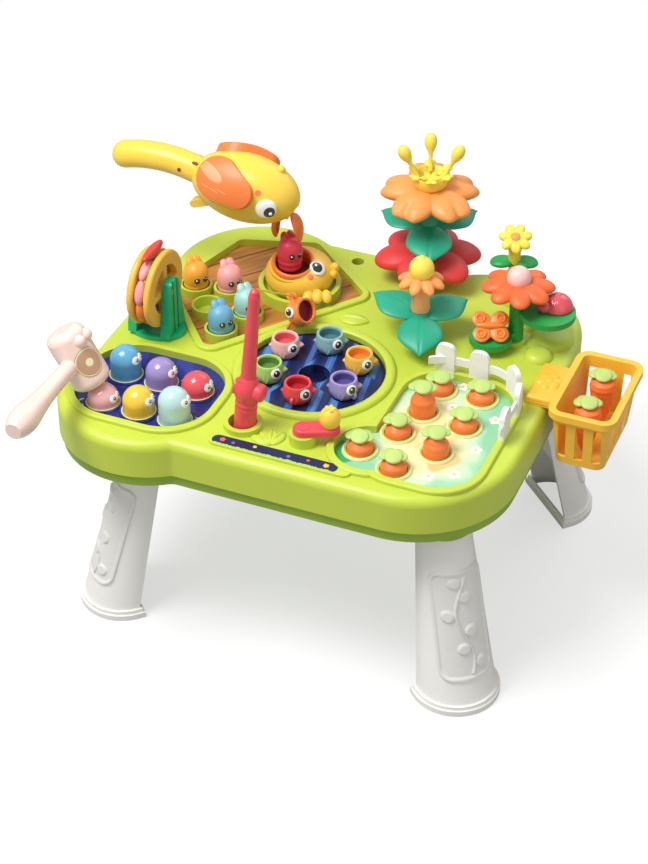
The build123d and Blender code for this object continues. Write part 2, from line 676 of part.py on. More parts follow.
def make_fence():
    half = FENCE_THICKNESS / 2
    band = offset(patch_outline(), amount=FENCE_LINE + half)
    band -= offset(patch_outline(), amount=FENCE_LINE - half)
    band &= Pos(FENCE_START[0] + PATCH_SIZE[0], FENCE_START[1] + PATCH_SIZE[1]) * Rectangle(
        2 * PATCH_SIZE[0], 2 * PATCH_SIZE[1]
    )
    fence = raised(band, BORDER_Z + RAIL_LOW, BORDER_Z + RAIL_LOW + RAIL_HEIGHT)
    back = PATCH_MIDDLE[1] + PATCH_SIZE[1] / 2 + FENCE_LINE
    side = PATCH_MIDDLE[0] + PATCH_SIZE[0] / 2 + FENCE_LINE
    bend = (side - FENCE_LINE - PATCH_ROUND, back - FENCE_LINE - PATCH_ROUND)
    for x, facing in PICKET_PLACES:
        fence += picket((x, back), facing)
    for angle in PICKET_ANGLES:
        fence += picket(polar(bend, PATCH_ROUND + FENCE_LINE, angle), angle)
    for y in PICKET_SIDE_Y:
        fence += picket((side, y), 0)
    return fence


# Worms: turned bodies with two ears
def worm_body():
    r = WORM_BASE_RADIUS
    head = WORM_HEAD_RADIUS
    h = WORM_HEIGHT
    body = turned([
        (r - 1.5, 0), (r, 0.12 * h), (r - 0.6, 0.27 * h), (r - 1.6, 0.36 * h),
        (head, 0.6 * h), (head * 0.78, 0.85 * h), (0, h),
    ])
    for side in (-1, 1):
        ear = Rot(0, side * EAR_SPLAY, 0) * spheroid(EAR_LENGTH, EAR_RADIUS)
        body += Pos(side * EAR_SPREAD, 0, h + EAR_LENGTH * 0.1) * ear
    return body


def make_worm(place, floor):
    return Pos(place[0], place[1], floor + LIFT_GAP) * Rot(0, 0, FACING_TURN) * worm_body()


# Chick in the nest with its tilted open mouth
def mouth_frame():
    return Pos(*MOUTH) * Rot(0, 0, FACING_TURN) * Rot(MOUTH_TILT, 0, 0)


def make_chick():
    seat = FLOOR_Z + NEST_FLOOR
    middle = seat + CHICK_HALF_HEIGHT * 0.72
    body = Pos(NEST[0], NEST[1], middle) * spheroid(CHICK_HALF_HEIGHT, CHICK_RADIUS)
    collar = Cylinder(MOUTH_RADIUS + MOUTH_WALL, MOUTH_DEPTH, align=DOWN)
    body += mouth_frame() * Pos(0, 0, -MOUTH_WALL) * collar
    body -= Pos(NEST[0], NEST[1], seat) * Cylinder(2 * NEST_RADIUS, CHICK_HALF_HEIGHT, align=DOWN)
    for index in (-1, 0, 1):
        spot = polar(NEST, CHICK_RADIUS, CHICK_TUFT_TURN + index * CHICK_TUFT_TURN / 2)
        height = middle + CHICK_TUFT_RISE * (1 - abs(index) / 2)
        body += Pos(spot[0], spot[1], height) * Sphere(CHICK_TUFT_RADIUS)
    bore = mouth_frame() * Cylinder(MOUTH_RADIUS + TURN_GAP, 4 * MOUTH_DEPTH)
    return body - (bore & above_mouth_floor(-MOUTH_WALL))


def above_mouth_floor(shift):
    return round_post(MOUTH, 4 * MOUTH_RADIUS, MOUTH_FLOOR_Z + shift, MOUTH_FLOOR_Z + 4 * MOUTH_DEPTH)


def make_mouth():
    cup = mouth_frame() * Cylinder(MOUTH_RADIUS, 4 * MOUTH_DEPTH, align=DOWN)
    bore = mouth_frame() * Cylinder(MOUTH_RADIUS - MOUTH_WALL, 8 * MOUTH_DEPTH)
    return (cup & above_mouth_floor(-MOUTH_WALL)) - (bore & above_mouth_floor(0))


# Pond turntable and crank
def gear_sketch(teeth, module, turn):
    pitch = teeth * module / 2
    tip = pitch + 0.8 * module
    root = pitch - 1.05 * module
    step = 360 / teeth
    points = []
    for tooth in range(teeth):
        middle = turn + tooth * step
        points.append(polar((0, 0), root, middle - 0.34 * step))
        points.append(polar((0, 0), tip, middle - 0.12 * step))
        points.append(polar((0, 0), tip, middle + 0.12 * step))
        points.append(polar((0, 0), root, middle + 0.34 * step))
    return make_face(Polyline(*points, close=True))


def gear_module():
    return 2 * math.dist(POND, CRANK) / (POND_TEETH + CRANK_TEETH)


def mesh_angle():
    return math.degrees(math.atan2(CRANK[1] - POND[1], CRANK[0] - POND[0]))


def well_places():
    return [polar(POND, WELL_RING, WELL_START + 60 * index) for index in range(len(FISH_NAMES))]


def make_pond():
    under = POND_Z - POND_PLATE
    pit = POND_Z - POND_PIT_DEPTH
    disc = round_post(POND, POND_RADIUS, under, POND_Z)
    skirt = POND_TEETH * gear_module() / 2 - 2 * gear_module()
    disc += ring(POND, skirt, skirt - GEAR_SKIRT, GEAR_LOW_Z, under + 1)
    teeth = Pos(*POND) * gear_sketch(POND_TEETH, gear_module(), mesh_angle())
    disc += raised(teeth - Pos(*POND) * Circle(skirt - 1), GEAR_LOW_Z, GEAR_HIGH_Z)
    disc += round_post(POND, HUB_RADIUS, HUB_FOOT_Z, under + 1)
    disc -= round_post(POND, POND_PIT_RADIUS, pit, POND_Z + 1)
    disc -= round_post(POND, POST_RADIUS + TURN_GAP, HUB_FOOT_Z - 1, pit - WALL)
    for place in well_places():
        disc -= round_post(place, FISH_BASE_RADIUS + WALL, POND_Z - WELL_DEPTH, POND_Z + 1)
    return disc


def make_crank_gear():
    turn = mesh_angle() + 180 + 180 / CRANK_TEETH
    gear = raised(Pos(*CRANK) * gear_sketch(CRANK_TEETH, gear_module(), turn), GEAR_LOW_Z, GEAR_HIGH_Z)
    gear += round_post(CRANK, CRANK_BEARING_RADIUS, CRANK_BEARING_Z, GEAR_LOW_Z + 1)
    return gear - round_post(CRANK, CRANK_SHAFT_RADIUS, CRANK_BEARING_Z - 1, GEAR_HIGH_Z + 1)


def knob_place():
    return polar(CRANK, CRANK_ARM_REACH, CRANK_ARM_TURN)


def make_crank_arm():
    end = knob_place()
    middle = ((CRANK[0] + end[0]) / 2, (CRANK[1] + end[1]) / 2)
    pill = SlotOverall(CRANK_ARM_REACH + CRANK_ARM_WIDTH, CRANK_ARM_WIDTH)
    pill = Pos(*middle) * Rot(0, 0, CRANK_ARM_TURN) * pill
    arm = raised(pill, PEDESTAL_Z, PEDESTAL_Z + CRANK_ARM_THICKNESS)
    arm = fillet(arm.edges().group_by(Axis.Z)[-1], CRANK_ARM_THICKNESS * 0.4)
    return arm + round_post(CRANK, CRANK_SHAFT_RADIUS, INSIDE_Z + 1, PEDESTAL_Z + 1)


def make_crank_knob():
    base = PEDESTAL_Z + CRANK_ARM_THICKNESS
    h = KNOB_HEIGHT
    r = KNOB_RADIUS
    knob = turned([(r * 0.7, 0), (r, 0.35 * h), (r * 0.85, 0.72 * h), (0, h)])
    return Pos(knob_place()[0], knob_place()[1], base) * knob


# Fish: an open-mouthed cup of a body with a tail
def fish_body():
    h = FISH_HEIGHT
    body = turned([
        (FISH_BASE_RADIUS * 0.72, 0), (FISH_BASE_RADIUS, 0.1 * h), (FISH_BELLY_RADIUS, 0.5 * h),
        (FISH_BELLY_RADIUS * 0.95, 0.78 * h), (FISH_MOUTH_RADIUS, h),
    ])
    tail = Rot(90, 0, 0) * Cylinder(FISH_LIP * 1.8, FISH_LIP)
    body += Pos(-FISH_BELLY_RADIUS, 0, 0.45 * h) * tail
    bore = FISH_MOUTH_RADIUS - FISH_LIP
    body -= Pos(0, 0, h - FISH_MOUTH_DEPTH) * Cylinder(bore, FISH_HEIGHT, align=UP)
    return body


def make_fish(index):
    place = well_places()[index]
    outward = WELL_START + 60 * index
    seat = POND_Z - WELL_DEPTH + LIFT_GAP
    return Pos(place[0], place[1], seat) * Rot(0, 0, outward + 180) * fish_body()


# Rod, its line and the fish on the hook
def rod_seat():
    return ROD_GRIP_RADIUS * math.sin(math.radians(ROD_LEAN)) + LIFT_GAP


def rod_frame():
    return Pos(ROD[0], ROD[1], rod_floor() + rod_seat()) * Rot(0, ROD_LEAN, 0)


def make_rod():
    grip = ROD_GRIP_RADIUS
    tip = ROD_TIP_RADIUS
    length = ROD_LENGTH
    rod = turned([
        (grip - 1.5, 0), (grip - 0.4, 3), (grip, 12), (grip, 46), (grip * 0.82, 54), (grip * 0.74, 74),
        (tip + 2, 80), (tip + 0.4, length - 8), (tip * 0.8, length - 2), (tip * 0.3, length),
    ], smooth=False)
    reel = Pos(0, 0, REEL_HEIGHT) * Rot(0, 90, 0) * Cylinder(REEL_RADIUS, REEL_WIDTH)
    pin_spot = Pos(REEL_WIDTH * 0.55, 0, REEL_HEIGHT) * Rot(0, 90, 0)
    crank_pin = pin_spot * Cylinder(REEL_RADIUS * 0.45, REEL_RADIUS)
    return rod_frame() * (rod + reel + crank_pin)


def rod_tip():
    lean = math.radians(ROD_LEAN)
    base = rod_floor() + rod_seat()
    return (ROD[0] + ROD_LENGTH * math.sin(lean), ROD[1], base + ROD_LENGTH * math.cos(lean))


def hooked_frame():
    rest = TOP_Z + POND_LIP_RISE + FISH_BELLY_RADIUS - LIFT_GAP / 2
    return Pos(HOOKED_FISH[0], HOOKED_FISH[1], rest) * Rot(0, 0, HOOKED_TURN) * Rot(0, HOOKED_TILT, 0)


def ring_place():
    return Pos(-FISH_BELLY_RADIUS - FISH_RING_RADIUS * 0.7, 0, FISH_HEIGHT * 0.08)


def make_hooked_fish():
    fish = Pos(0, 0, -FISH_HEIGHT / 2) * fish_body()
    loop = ring_place() * Rot(90, 0, 0) * Torus(FISH_RING_RADIUS, FISH_RING_WIRE)
    return hooked_frame() * (fish + loop)


def line_points():
    start = rod_tip()
    end = (hooked_frame() * ring_place()).position
    return [start, (end.X, end.Y, end.Z)]


def make_line():
    start, end = line_points()
    path = Line(start, end)
    section = Plane(origin=path @ 0, z_dir=path % 0) * Circle(LINE_RADIUS)
    return sweep(section, path=path)


# Moles with a flange under the plate, and their return springs
def make_mole(place, drop):
    stop = PLATE_Z - drop - LIFT_GAP
    top = PANEL_Z + MOLE_RISE - drop
    mole = round_post(place, MOLE_RADIUS, stop - MOLE_FLANGE_HEIGHT, top - MOLE_RADIUS)
    mole += Pos(place[0], place[1], top - MOLE_RADIUS) * Sphere(MOLE_RADIUS)
    return mole + round_post(place, MOLE_RADIUS + MOLE_FLANGE, stop - MOLE_FLANGE_HEIGHT, stop)


def make_springs():
    springs = []
    for place, drop in zip(mole_places(), MOLE_DROPS):
        high = PLATE_Z - drop - 2 * LIFT_GAP - MOLE_FLANGE_HEIGHT
        springs.append(ring(place, SPRING_RADIUS, SPRING_RADIUS - SPRING_WALL, INSIDE_Z, high))
    return Compound(children=springs)


# Hammer standing on the pink mole
def hammer_frame():
    place = mole_places()[0]
    centre = PANEL_Z + MOLE_RISE - MOLE_DROPS[0] - MOLE_RADIUS
    return Pos(place[0], place[1], centre) * Rot(0, -HAMMER_LEAN, 0) * Pos(0, 0, MOLE_RADIUS + LIFT_GAP)


def make_hammer():
    head = Cylinder(HAMMER_RADIUS, HAMMER_LENGTH, align=UP)
    head = fillet(head.edges().filter_by(GeomType.CIRCLE), HAMMER_ROUND)
    middle = Pos(0, 0, HAMMER_LENGTH / 2)
    grip = turned([
        (HAMMER_GRIP_RADIUS * 0.9, 0), (HAMMER_GRIP_RADIUS * 0.85, 0.3 * HAMMER_GRIP_LENGTH),
        (HAMMER_GRIP_RADIUS * 1.1, 0.62 * HAMMER_GRIP_LENGTH),
        (HAMMER_KNOB_RADIUS, 0.88 * HAMMER_GRIP_LENGTH),
        (HAMMER_KNOB_RADIUS * 0.6, HAMMER_GRIP_LENGTH),
    ])
    head += middle * Rot(90, 0, 0) * Pos(0, 0, HAMMER_RADIUS * 0.7) * grip
    for side in (-1, 1):
        spot = Pos(HAMMER_RADIUS * 0.9, side * HAMMER_EAR_RADIUS, HAMMER_LENGTH * 0.78)
        head += spot * Sphere(HAMMER_EAR_RADIUS)
    return hammer_frame() * head


# Carrots with a three-lobed leaf on top
def carrot_body(rise):
    r = CARROT_RADIUS
    deep = CARROT_DEPTH
    body = turned([
        (r * 0.25, 0), (r * 0.5, 0.14 * deep), (r * 0.8, 0.6 * deep), (r * 0.99, deep),
        (r * 0.9, deep + 0.6 * rise), (r * 0.45, deep + rise),
    ])
    leaf = Circle(CARROT_LEAF_RADIUS * 0.7)
    for angle in (90, 210, 330):
        leaf += Pos(*polar((0, 0), CARROT_LEAF_RADIUS, angle)) * Circle(CARROT_LEAF_RADIUS)
    return body + raised(leaf, deep + rise - 1, deep + rise + CARROT_LEAF_THICKNESS)


def make_carrots():
    carrots = []
    for place, rise in zip(CARROT_PLACES, CARROT_RISES):
        spot = Pos(place[0], place[1], INSIDE_Z + LIFT_GAP)
        carrots.append(spot * Rot(0, 0, FACING_TURN) * carrot_body(rise))
    return Compound(children=carrots)


# Sandwich wheel: two bun rings with fillings between them, turning on a stand
def wheel_frame():
    return Pos(*WHEEL) * Rot(0, 90, 0)


def make_buns():
    buns = []
    for side in (-1, 1):
        plate = Circle(WHEEL_RADIUS) - Circle(WHEEL_BORE)
        plate += Rectangle(SPOKE_WIDTH, 2 * WHEEL_BORE + 1) + Rectangle(2 * WHEEL_BORE + 1, SPOKE_WIDTH)
        plate += Circle(AXLE_RADIUS + WALL)
        low = BUN_GAP / 2
        bun = extrude(Pos(0, 0, low) * plate, amount=BUN_THICKNESS)
        bun = fillet(bun.edges().filter_by(GeomType.CIRCLE).sort_by(SortBy.RADIUS)[-2:], BUN_ROUND)
        bun += Pos(0, 0, low) * Cylinder(AXLE_RADIUS, stub_length(), align=UP)
        if side < 0:
            bun = Rot(180, 0, 0) * bun
        buns.append(wheel_frame() * bun)
    return Compound(children=buns)


def stub_length():
    return BUN_THICKNESS + 2 * LIFT_GAP + STAND_POST_THICKNESS - 1


def make_fillings():
    band = Cylinder(FILLING_RING, BUN_GAP) - Cylinder(FILLING_RING - FILLING_RADIUS, BUN_GAP)
    fillings = band
    for index in range(FILLING_COUNT):
        spot = polar((0, 0), FILLING_RING, 180 + 360 * index / FILLING_COUNT)
        fillings += Pos(spot[0], spot[1], 0) * Cylinder(FILLING_RADIUS, BUN_GAP)
    sausage = Rot(0, -90, 0) * Cylinder(SAUSAGE_RADIUS, SAUSAGE_REACH - SAUSAGE_RADIUS, align=UP)
    tip = Pos(-(SAUSAGE_REACH - SAUSAGE_RADIUS), 0, 0) * Sphere(SAUSAGE_RADIUS)
    sausage -= Cylinder(FILLING_RING - FILLING_RADIUS, 4 * BUN_GAP)
    return wheel_frame() * (fillings + sausage + tip)


def make_stand():
    base = Pos(WHEEL[0], WHEEL[1]) * Ellipse(STAND_BASE[0], STAND_BASE[1])
    stand = raised(base, TOP_Z, TOP_Z + STAND_BASE_RISE)
    reach = BUN_GAP / 2 + BUN_THICKNESS + 2 * LIFT_GAP
    top = WHEEL[2] + STAND_POST_TOP
    low = TOP_Z + STAND_BASE_RISE - 1
    for side in (-1, 1):
        face = Polygon(
            (-POST_FOOT_DEPTH / 2, low), (POST_FOOT_DEPTH / 2, low),
            (POST_HEAD_DEPTH / 2, top), (-POST_HEAD_DEPTH / 2, top), align=None,
        )
        face = fillet(face.vertices().group_by(Axis.Y)[-1], POST_HEAD_DEPTH * 0.3)
        inner = WHEEL[0] + side * reach
        upright = Plane(origin=(inner, WHEEL[1], 0), x_dir=(0, 1, 0), z_dir=(1, 0, 0))
        post = extrude(upright * face, amount=side * STAND_POST_THICKNESS)
        outer = inner + side * STAND_POST_THICKNESS
        for shift in (-1, 1):
            groove = Box(2 * GROOVE_DEPTH, GROOVE_WIDTH, 4 * POST_FOOT_DEPTH, align=UP)
            post -= Pos(outer, WHEEL[1] + shift * GROOVE_WIDTH * 1.4, low + 1) * groove
        stand += post
    stand -= wheel_frame() * Cylinder(SAUSAGE_REACH + 4 * LIFT_GAP, 2 * reach)
    return stand - wheel_frame() * Cylinder(AXLE_RADIUS + TURN_GAP, 2 * reach + 2 * STAND_POST_THICKNESS - 1)


# Flower parts: each has a peg below and a socket on top
def petals(count, radius, reach, thickness, rounding, start):
    shape = Cylinder(reach * 0.75, thickness, align=UP)
    for index in range(count):
        spot = polar((0, 0), reach, start + 360 * index / count)
        petal = Cylinder(radius, thickness, align=UP)
        petal = fillet(petal.edges().filter_by(GeomType.CIRCLE), rounding)
        shape += Pos(spot[0], spot[1], 0) * petal
    return shape


def leaf_blade(length, width, thickness):
    bow = (length * length / 4 + width * width / 4) / width
    blade = Pos(length / 2, width / 2 - bow) * Circle(bow) & Pos(length / 2, bow - width / 2) * Circle(bow)
    return raised(blade, 0, thickness)


def with_peg(shape):
    return shape + Pos(0, 0, -PEG_LENGTH) * Cylinder(PEG_RADIUS, PEG_LENGTH + 1, align=UP)


def with_socket(shape, height):
    return shape - Pos(0, 0, height - PEG_BORE_DEPTH) * Cylinder(PEG_BORE, PEG_BORE_DEPTH + 1, align=UP)


def stalk(height):
    return Cylinder(STALK_RADIUS, height, align=UP)


def make_red_flower():
    flower = stalk(RED_HEIGHT)
    crown = petals(PETAL_COUNT, RED_PETAL_RADIUS, RED_PETAL_REACH, PETAL_THICKNESS, PETAL_ROUND, 30)
    flower += Pos(0, 0, RED_FLOWER_RISE) * crown
    return Pos(TALL_STACK[0], TALL_STACK[1], RED_FLOWER_Z) * with_socket(with_peg(flower), RED_HEIGHT)


def make_leaf_ring():
    leaves = stalk(LEAF_RING_HEIGHT)
    for angle in (-70, 50, 170):
        blade = leaf_blade(LEAF_LENGTH, LEAF_WIDTH, LEAF_THICKNESS)
        leaves += Pos(0, 0, LEAF_RING_RISE) * Rot(0, 0, angle) * blade
    return Pos(TALL_STACK[0], TALL_STACK[1], LEAF_RING_Z) * with_socket(with_peg(leaves), LEAF_RING_HEIGHT)


def make_peach_flower():
    flower = stalk(PEACH_HEIGHT)
    crown = petals(PETAL_COUNT, PEACH_PETAL_RADIUS, PEACH_PETAL_REACH, PETAL_THICKNESS, PETAL_ROUND, 0)
    flower += Pos(0, 0, PEACH_FLOWER_RISE) * crown
    return Pos(TALL_STACK[0], TALL_STACK[1], PEACH_Z) * with_socket(with_peg(flower), PEACH_HEIGHT)


def make_stamen_cup():
    h = STAMEN_CUP_HEIGHT
    r = STAMEN_CUP_RADIUS
    cup = turned([(r * 0.62, 0), (r * 0.8, 0.3 * h), (r, 0.75 * h), (r * 0.9, h)])
    for turn, lean in zip(STAMEN_TURNS, STAMEN_LEANS):
        stamen = Cylinder(STAMEN_RADIUS, STAMEN_LENGTH, align=UP)
        stamen += Pos(0, 0, STAMEN_LENGTH) * Sphere(STAMEN_BALL_RADIUS)
        cup += Pos(0, 0, h * 0.6) * Rot(0, 0, FACING_TURN + turn) * Rot(0, lean, 0) * stamen
    return Pos(TALL_STACK[0], TALL_STACK[1], STAMEN_Z) * with_peg(cup)


def make_leaf_trio():
    leaves = stalk(TRIO_HEIGHT)
    for angle in (-70, 50, 170):
        blade = leaf_blade(TRIO_LEAF_LENGTH, TRIO_LEAF_WIDTH, LEAF_THICKNESS)
        leaves += Pos(0, 0, TRIO_RISE) * Rot(0, 0, angle) * blade
    return Pos(BUD_STACK[0], BUD_STACK[1], TRIO_Z) * with_socket(with_peg(leaves), TRIO_HEIGHT)


def make_bud_flower():
    bud = stalk(BUD_STALK_LENGTH)
    edge = BUD_THICKNESS * 0.35
    crown = petals(PETAL_COUNT, BUD_PETAL_RADIUS, BUD_PETAL_REACH, BUD_THICKNESS, edge, 0)
    bud += Pos(0, 0, BUD_STALK_LENGTH - 1) * crown
    ball = BUD_STALK_LENGTH + BUD_THICKNESS + BUD_BALL_RADIUS * 0.55
    bud += Pos(0, 0, ball) * Sphere(BUD_BALL_RADIUS)
    return Pos(BUD_STACK[0], BUD_STACK[1], BUD_Z) * with_peg(bud)


def perch(place, radius, height):
    """A leaf-like round perch on an arm from the stem."""
    length = math.dist(GARDEN_STEM, place)
    angle = math.degrees(math.atan2(place[1] - GARDEN_STEM[1], place[0] - GARDEN_STEM[0]))
    arm = Pos(length / 2, 0) * SlotOverall(length + 2 * GARDEN_STEM_RADIUS, 2 * GARDEN_STEM_RADIUS)
    shape = Pos(*GARDEN_STEM) * Rot(0, 0, angle) * arm + Pos(*place) * Circle(radius)
    return raised(shape, height, height + PERCH_THICKNESS)


def make_garden_stem():
    stem = round_post(GARDEN_STEM, GARDEN_STEM_RADIUS + 1, STEM_Z, GARDEN_STEM_TOP_Z)
    stem += round_post(GARDEN_STEM, PEG_RADIUS, STEM_Z - PEG_LENGTH, STEM_Z + 1)
    stem += perch(LADY_LEAF, LADY_LEAF_RADIUS, LADY_LEAF_Z)
    stem += perch(FLY_LEAF, FLY_LEAF_RADIUS, FLY_LEAF_Z)
    return stem - round_post(GARDEN_STEM, PEG_BORE, GARDEN_STEM_TOP_Z - PEG_BORE_DEPTH, GARDEN_STEM_TOP_Z + 1)


def make_leaf_bugs():
    top = LADY_LEAF_Z + PERCH_THICKNESS
    lady = Pos(LADY_LEAF[0], LADY_LEAF[1], top) * dome(BUG_HEIGHT, BUG_RADIUS)
    perch_top = FLY_LEAF_Z + PERCH_THICKNESS
    wings = Circle(FLY_BODY_RADIUS)
    for angle in (40, 140, 220, 320):
        wings += Pos(*polar((0, 0), FLY_WING_RADIUS * 1.25, angle)) * Circle(FLY_WING_RADIUS)
    fly = raised(wings, 0, PERCH_THICKNESS)
    reach = FLY_WING_RADIUS * 1.2
    fly += Pos(0, 0, PERCH_THICKNESS) * Rot(90, 0, 0) * Cylinder(FLY_BODY_RADIUS, 2 * reach)
    for end in (-reach, reach):
        fly += Pos(0, end, PERCH_THICKNESS) * Sphere(FLY_BODY_RADIUS)
    fly = Pos(FLY_LEAF[0], FLY_LEAF[1], perch_top) * Rot(0, 0, FACING_TURN) * fly
    return Compound(children=[lady, fly])


def make_daisy():
    edge = DAISY_THICKNESS * 0.35
    daisy = petals(DAISY_COUNT, DAISY_PETAL_RADIUS, DAISY_PETAL_REACH, DAISY_THICKNESS, edge, 30)
    daisy += Pos(0, 0, DAISY_THICKNESS + DAISY_BALL_RADIUS * 0.4) * Sphere(DAISY_BALL_RADIUS)
    return Pos(GARDEN_STEM[0], GARDEN_STEM[1], GARDEN_STEM_TOP_Z) * with_peg(daisy)


def make_back_flower():
    stem = round_post(BACK_FLOWER, BACK_STEM_RADIUS, STEM_Z, BACK_FLOWER_Z)
    stem += round_post(BACK_FLOWER, PEG_RADIUS, STEM_Z - PEG_LENGTH, STEM_Z + 1)
    edge = DAISY_THICKNESS * 0.35
    head = petals(PETAL_COUNT, BACK_PETAL_RADIUS, BACK_PETAL_REACH, DAISY_THICKNESS, edge, 0)
    stem += Pos(BACK_FLOWER[0], BACK_FLOWER[1], BACK_FLOWER_Z - 1) * head
    leaves = Circle(BACK_STEM_RADIUS + 1)
    for angle in (20, 200):
        leaves += Pos(*polar((0, 0), BACK_LEAF_RADIUS, angle)) * Circle(BACK_LEAF_RADIUS * 0.8)
    blades = raised(leaves, BACK_LEAF_Z, BACK_LEAF_Z + PERCH_THICKNESS)
    return stem + Pos(BACK_FLOWER[0], BACK_FLOWER[1], 0) * blades


# Basket with slotted walls, hung by a hook plate with a tongue in the table's edge
def make_basket():
    low = BASKET_TOP_Z - BASKET_HEIGHT
    rim_low = BASKET_TOP_Z - BASKET_RIM_HEIGHT
    place = Pos(*BASKET_MIDDLE)
    x, y = BASKET_SIZE
    inset = 2 * BASKET_TAPER
    rim_x = x - 2 * BASKET_RIM
    rim_y = y - 2 * BASKET_RIM
    tub = loft([
        Pos(0, 0, low) * place * RectangleRounded(rim_x - inset, rim_y - inset, BASKET_ROUND - BASKET_RIM),
        Pos(0, 0, rim_low) * place * RectangleRounded(rim_x, rim_y, BASKET_ROUND - BASKET_RIM),
    ])
    tub += raised(place * RectangleRounded(x, y, BASKET_ROUND), rim_low, BASKET_TOP_Z)
    wall = 2 * BASKET_WALL
    bend = BASKET_ROUND - BASKET_RIM - BASKET_WALL
    floor_hollow = RectangleRounded(rim_x - inset - wall, rim_y - inset - wall, bend)
    mouth_hollow = RectangleRounded(rim_x - wall, rim_y - wall, bend)
    tub -= loft([
        Pos(0, 0, low + BASKET_WALL) * place * floor_hollow,
        Pos(0, 0, BASKET_TOP_Z + 1) * place * mouth_hollow,
    ])
    slot_low = low + 3 * BASKET_WALL
    slot_high = rim_low - 2 * BASKET_WALL
    middle = (slot_low + slot_high) / 2
    for index in range(-2, 3):
        slot = Box(x, SLOT_WIDTH, slot_high - slot_low)
        tub -= Pos(BASKET_MIDDLE[0] + x / 2, BASKET_MIDDLE[1] + index * SLOT_PITCH, middle) * slot
    for index in (-1, 0, 1):
        slot = Box(SLOT_WIDTH, 2 * y, slot_high - slot_low)
        tub -= Pos(BASKET_MIDDLE[0] + index * SLOT_PITCH, BASKET_MIDDLE[1], middle) * slot
    inner_edge = BASKET_MIDDLE[0] - x / 2
    plate = Rectangle(inner_edge + 1 - HOOK_START_X, HOOK_LENGTH)
    plate = Pos((HOOK_START_X + inner_edge + 1) / 2, BASKET_MIDDLE[1]) * plate
    tub += raised(plate, TOP_Z, TOP_Z + HOOK_THICKNESS)
    bracket = Pos(inner_edge + BASKET_RIM / 2, BASKET_MIDDLE[1]) * Rectangle(BASKET_RIM + 2, HOOK_LENGTH)
    tub += raised(bracket, TOP_Z, rim_low + 1)
    return tub + hook_tongue(0, TOP_Z - TONGUE_DEPTH)


def make_basket_carrots():
    floor = BASKET_TOP_Z - BASKET_HEIGHT + BASKET_WALL
    carrots = []
    for side in (-1, 1):
        place = Pos(BASKET_MIDDLE[0], BASKET_MIDDLE[1] + side * LOOSE_CARROT_OFFSET, floor + 2 * LIFT_GAP)
        carrots.append(place * Rot(0, 0, FACING_TURN) * carrot_body(LOOSE_CARROT_RISE))
    return Compound(children=carrots)


# Bird gripper, drawn in the upright plane of its axis
def bird_plane(shift):
    return Plane(origin=(0, BIRD_AXIS_Y + shift, 0), x_dir=(1, 0, 0), z_dir=(0, -1, 0))


def bird_egg(extra):
    egg = spheroid(BIRD_HALF_LENGTH + extra, BIRD_RADIUS + extra)
    return Pos(BIRD_CENTRE[0], BIRD_AXIS_Y, BIRD_CENTRE[1]) * Rot(0, 90 + BIRD_NOD, 0) * egg


def make_bird_body():
    body = bird_egg(0)
    arc = ThreePointArc(
        (HANDLE_START[0], BIRD_AXIS_Y, HANDLE_START[1]),
        (HANDLE_MIDDLE[0], BIRD_AXIS_Y, HANDLE_MIDDLE[1]),
        (HANDLE_END[0], BIRD_AXIS_Y, HANDLE_END[1]),
    )
    section = Plane(origin=arc @ 0, z_dir=arc % 0) * Circle(HANDLE_RADIUS)
    body += sweep(section, path=arc)
    body += Pos(HANDLE_END[0], BIRD_AXIS_Y, HANDLE_END[1]) * Sphere(HANDLE_RADIUS)
    body -= beak_slot()
    body -= trigger_slot()
    for pivot, width in ((BEAK_PIVOT, BEAK_WIDTH), (TRIGGER_PIVOT, TRIGGER_WIDTH)):
        pin = bird_plane(0) * (Pos(*pivot) * Circle(BEAK_PIN_RADIUS))
        body += extrude(pin, amount=width / 2 + 2 * LIFT_GAP + 1, both=True)
    return body


def beak_slot():
    swing = math.radians(BEAK_OPEN)
    half_width = JAW_OUTER * math.cos(swing) + BEAK_LENGTH * math.sin(swing) + 2 * LIFT_GAP
    rise = KNUCKLE + JAW_OUTER * math.sin(swing)
    height = rise + BEAK_LENGTH
    hole = Pos(BEAK_PIVOT[0], BEAK_PIVOT[1] + rise - height / 2) * Rectangle(2 * half_width, height)
    return extrude(bird_plane(0) * hole, amount=BEAK_WIDTH / 2 + 2 * LIFT_GAP, both=True)


def trigger_slot():
    reach = BEAK_PIN_RADIUS + TRIGGER_THICKNESS
    hole = Pos(TRIGGER_PIVOT[0] - reach / 2, TRIGGER_PIVOT[1] - reach) * Rectangle(5 * reach, 4 * reach)
    return extrude(bird_plane(0) * hole, amount=TRIGGER_WIDTH / 2 + LIFT_GAP, both=True)


def make_beak(side):
    """One half of the beak: an eye on the pin and a jaw beside the worm's ears."""
    x, z = BEAK_PIVOT
    inner = x + side * JAW_INNER
    outer = x + side * JAW_OUTER
    tip = z - BEAK_LENGTH
    arm = Polygon((x, z), (x, z + KNUCKLE), (outer, z), (outer, z - KNUCKLE), align=None)
    jaw = Polygon((inner, z), (outer, z), (outer, tip + BEAK_THICKNESS), (inner, tip), align=None)
    eye = arm + Pos(x, z) * Circle(KNUCKLE)
    half = BEAK_WIDTH / 4 - LIFT_GAP / 2
    half_beak = extrude(bird_plane(side * BEAK_WIDTH / 4) * eye, amount=half, both=True)
    half_beak += extrude(bird_plane(0) * jaw, amount=BEAK_WIDTH / 2, both=True)
    return half_beak - pin_hole(BEAK_PIVOT, BEAK_WIDTH)


def pin_hole(pivot, width):
    hole = Pos(*pivot) * Circle(BEAK_PIN_RADIUS + TURN_GAP)
    return extrude(bird_plane(0) * hole, amount=width, both=True)


